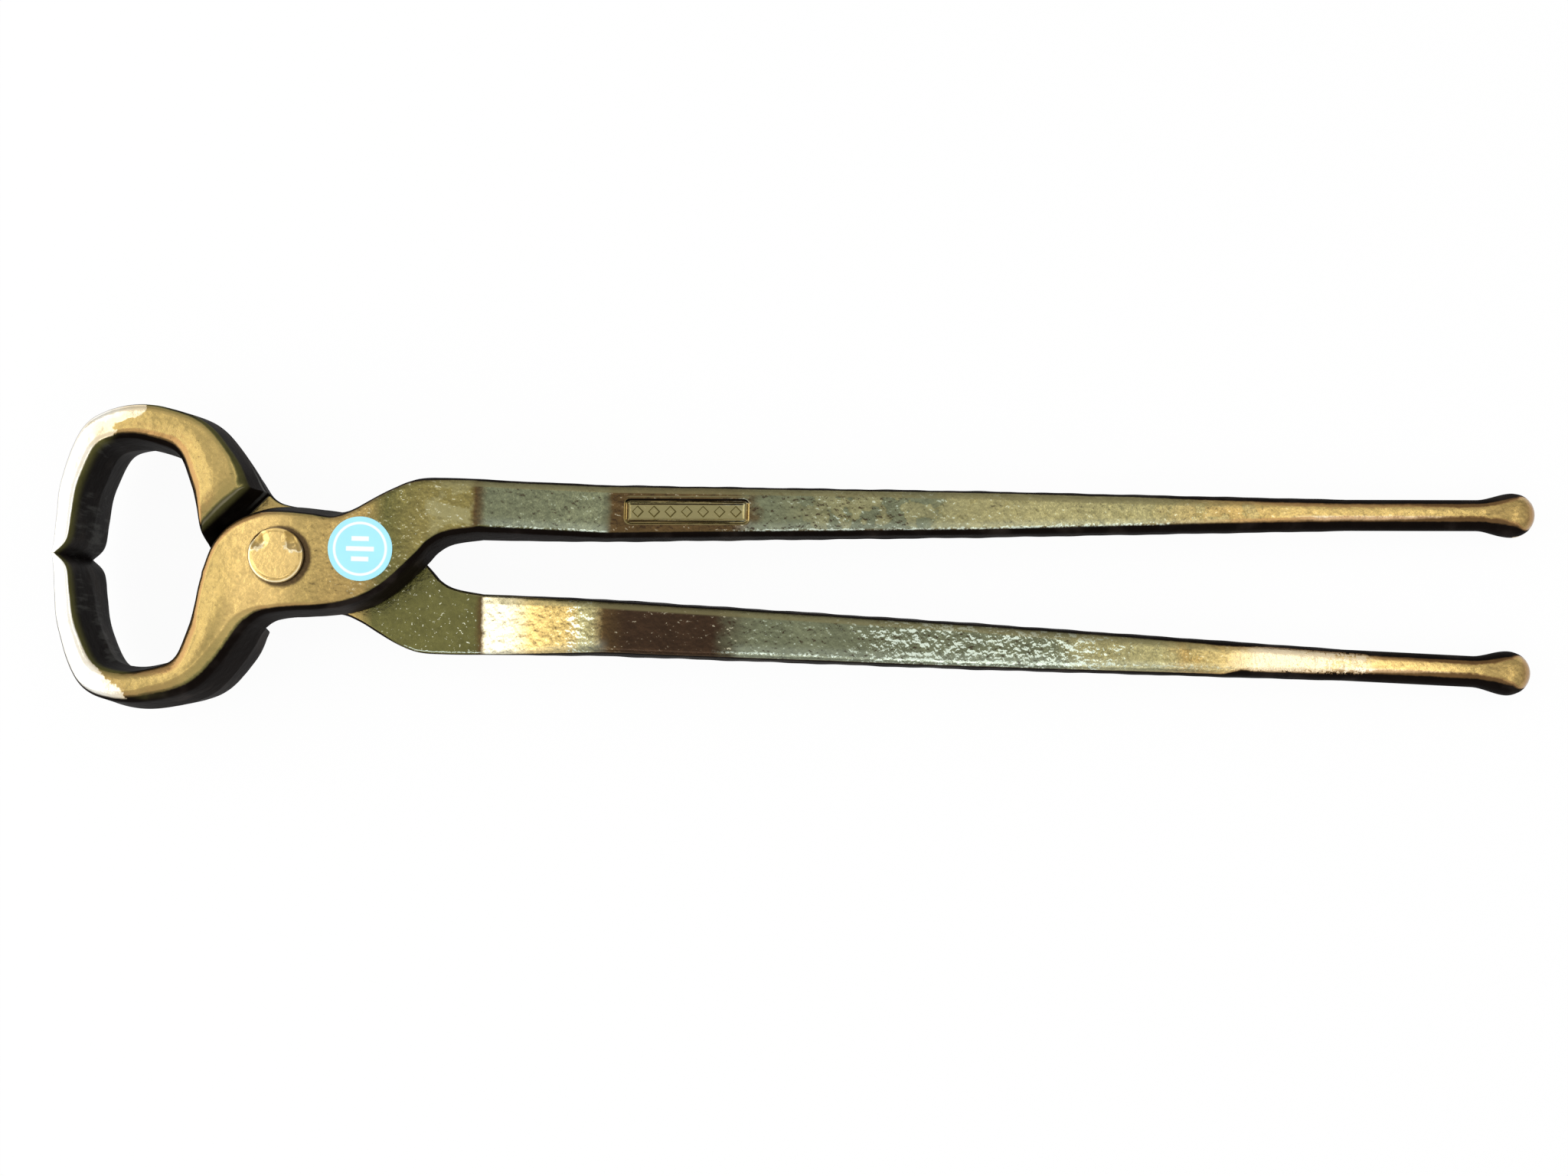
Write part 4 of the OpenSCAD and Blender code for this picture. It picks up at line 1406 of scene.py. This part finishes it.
def lay_floor(scene, stage):
    """A white floor, tilted as the tool lies on the edge of its rivet's tail and on its knobs."""
    edge_x, low = RIVET_HIGH.x - scene.puller_rivet.crown, RIVET_LOW.z - FLOOR_GAP
    half, slope = stage.floor / 2, np.tan(stage.slope)
    mesh = bpy.data.meshes.new("floor")
    corners = [(a * half, b * half) for a, b in ((-1, -1), (1, -1), (1, 1), (-1, 1))]
    mesh.from_pydata([(x, y, low + (x - edge_x) * slope) for x, y in corners], [], [(0, 1, 2, 3)])
    floor = bpy.data.objects.new("floor", mesh)
    scene.collection.objects.link(floor)
    paper = bpy.data.materials.new("Paper floor")
    tree = empty_tree(paper)
    camera, glossy, clear = ray_kinds(tree)
    matt = add(tree, "ShaderNodeBsdfDiffuse", None, {"Color": (0.94, 0.94, 0.94, 1)})
    glow = add(tree, "ShaderNodeEmission", None, {"Color": (1, 1, 1, 1), "Strength": 1.0})
    seen = camera.most(glossy).most(clear) * 0.95
    both = add(tree, "ShaderNodeMixShader", None, {0: seen, 1: matt, 2: glow})
    add(tree, "ShaderNodeOutputMaterial", None, {"Surface": both})
    mesh.materials.append(paper)


def light_sky(scene, stage):
    """A grey sky that is brighter overhead, and is shown white to the camera."""
    world = bpy.data.worlds.new("Sky")
    tree = empty_tree(world)
    direction = add(tree, "ShaderNodeTexCoord", output="Generated")
    up = add(tree, "ShaderNodeSeparateXYZ", None, {"Vector": direction}, "Z")
    level = stage.horizon + (stage.sky - stage.horizon) * up.rise(0.0, 0.85)
    camera, glossy, clear = ray_kinds(tree)
    strength = level + camera.most(clear).most(glossy * 0.3) * (1 - level)
    back = add(tree, "ShaderNodeBackground", None, {"Color": (1, 1, 1, 1), "Strength": strength})
    add(tree, "ShaderNodeOutputWorld", None, {"Surface": back})
    scene.world = world


def lamp(scene, name, place, size, target, power, shade=(1, 1, 1)):
    """A soft box that shines from its place at the target, unseen by the camera."""
    light = bpy.data.lights.new(name, "AREA")
    light.shape = "RECTANGLE"
    light.size, light.size_y = size
    light.energy = power * pi * size[0] * size[1]
    light.color = shade
    made = bpy.data.objects.new(name, light)
    made.location = place
    made.rotation_euler = (Vector(target) - Vector(place)).to_track_quat("-Z", "Y").to_euler()
    made.visible_camera = False
    scene.collection.objects.link(made)


class PULLER_OT_stage(bpy.types.Operator):
    """Set up the camera, the pale floor, the sky and the lamps"""

    bl_idname = "puller.stage"
    bl_label = "Stage"

    def execute(self, context):
        scene, stage = context.scene, context.scene.puller_stage
        set_camera(scene, stage)
        lay_floor(scene, stage)
        light_sky(scene, stage)
        warm = (1, 0.96, 0.88)
        lamp(scene, "Jaw box", (-0.265, 0.05, 0.63), (0.071, 0.4), (-0.265, 0.05, 0), 1.6, warm)
        lamp(scene, "Left box", (-0.43, 0.0, 0.63), (0.14, 0.9), (-0.43, 0.0, 0), 1.6, warm)
        lamp(scene, "Left wall", (-0.85, 0.0, 0.42), (1.1, 0.8), (-0.05, 0.0, 0.02), 1.3)
        lamp(scene, "Right box", (0.434, -0.01, 0.63), (0.092, 0.8), (0.434, -0.01, 0), 1.75, warm)
        lamp(scene, "Edge strip", (0.18, -0.6, 0.45), (0.5, 0.1), (0.18, 0, 0), 2.2)
        return {"FINISHED"}


class PULLER_PT_panel(bpy.types.Panel):
    """The tool's pieces and their sizes"""

    bl_label = "Horseshoe puller"
    bl_idname = "PULLER_PT_panel"
    bl_space_type = "VIEW_3D"
    bl_region_type = "UI"
    bl_category = "Puller"

    def draw(self, context):
        for operator in OPERATORS:
            self.layout.operator(operator.bl_idname)
        for name in GROUPS:
            group = getattr(context.scene, name)
            box = self.layout.box()
            box.label(text=name.split("_")[1].capitalize())
            for key in group.__annotations__:
                box.prop(group, key)


OPERATORS = (
    PULLER_OT_front_half,
    PULLER_OT_back_half,
    PULLER_OT_rivet,
    PULLER_OT_label,
    PULLER_OT_stage,
)
CLASSES = (*GROUPS.values(), *OPERATORS, PULLER_PT_panel)


def register():
    for cls in CLASSES:
        bpy.utils.register_class(cls)
    for name, group in GROUPS.items():
        setattr(bpy.types.Scene, name, PointerProperty(type=group))


def unregister():
    for name in GROUPS:
        delattr(bpy.types.Scene, name)
    for cls in reversed(CLASSES):
        bpy.utils.unregister_class(cls)


def main():
    register()
    bpy.ops.puller.front_half()
    bpy.ops.puller.back_half()
    bpy.ops.puller.rivet()
    bpy.ops.puller.label()
    bpy.ops.puller.stage()


if __name__ == "__main__":
    main()
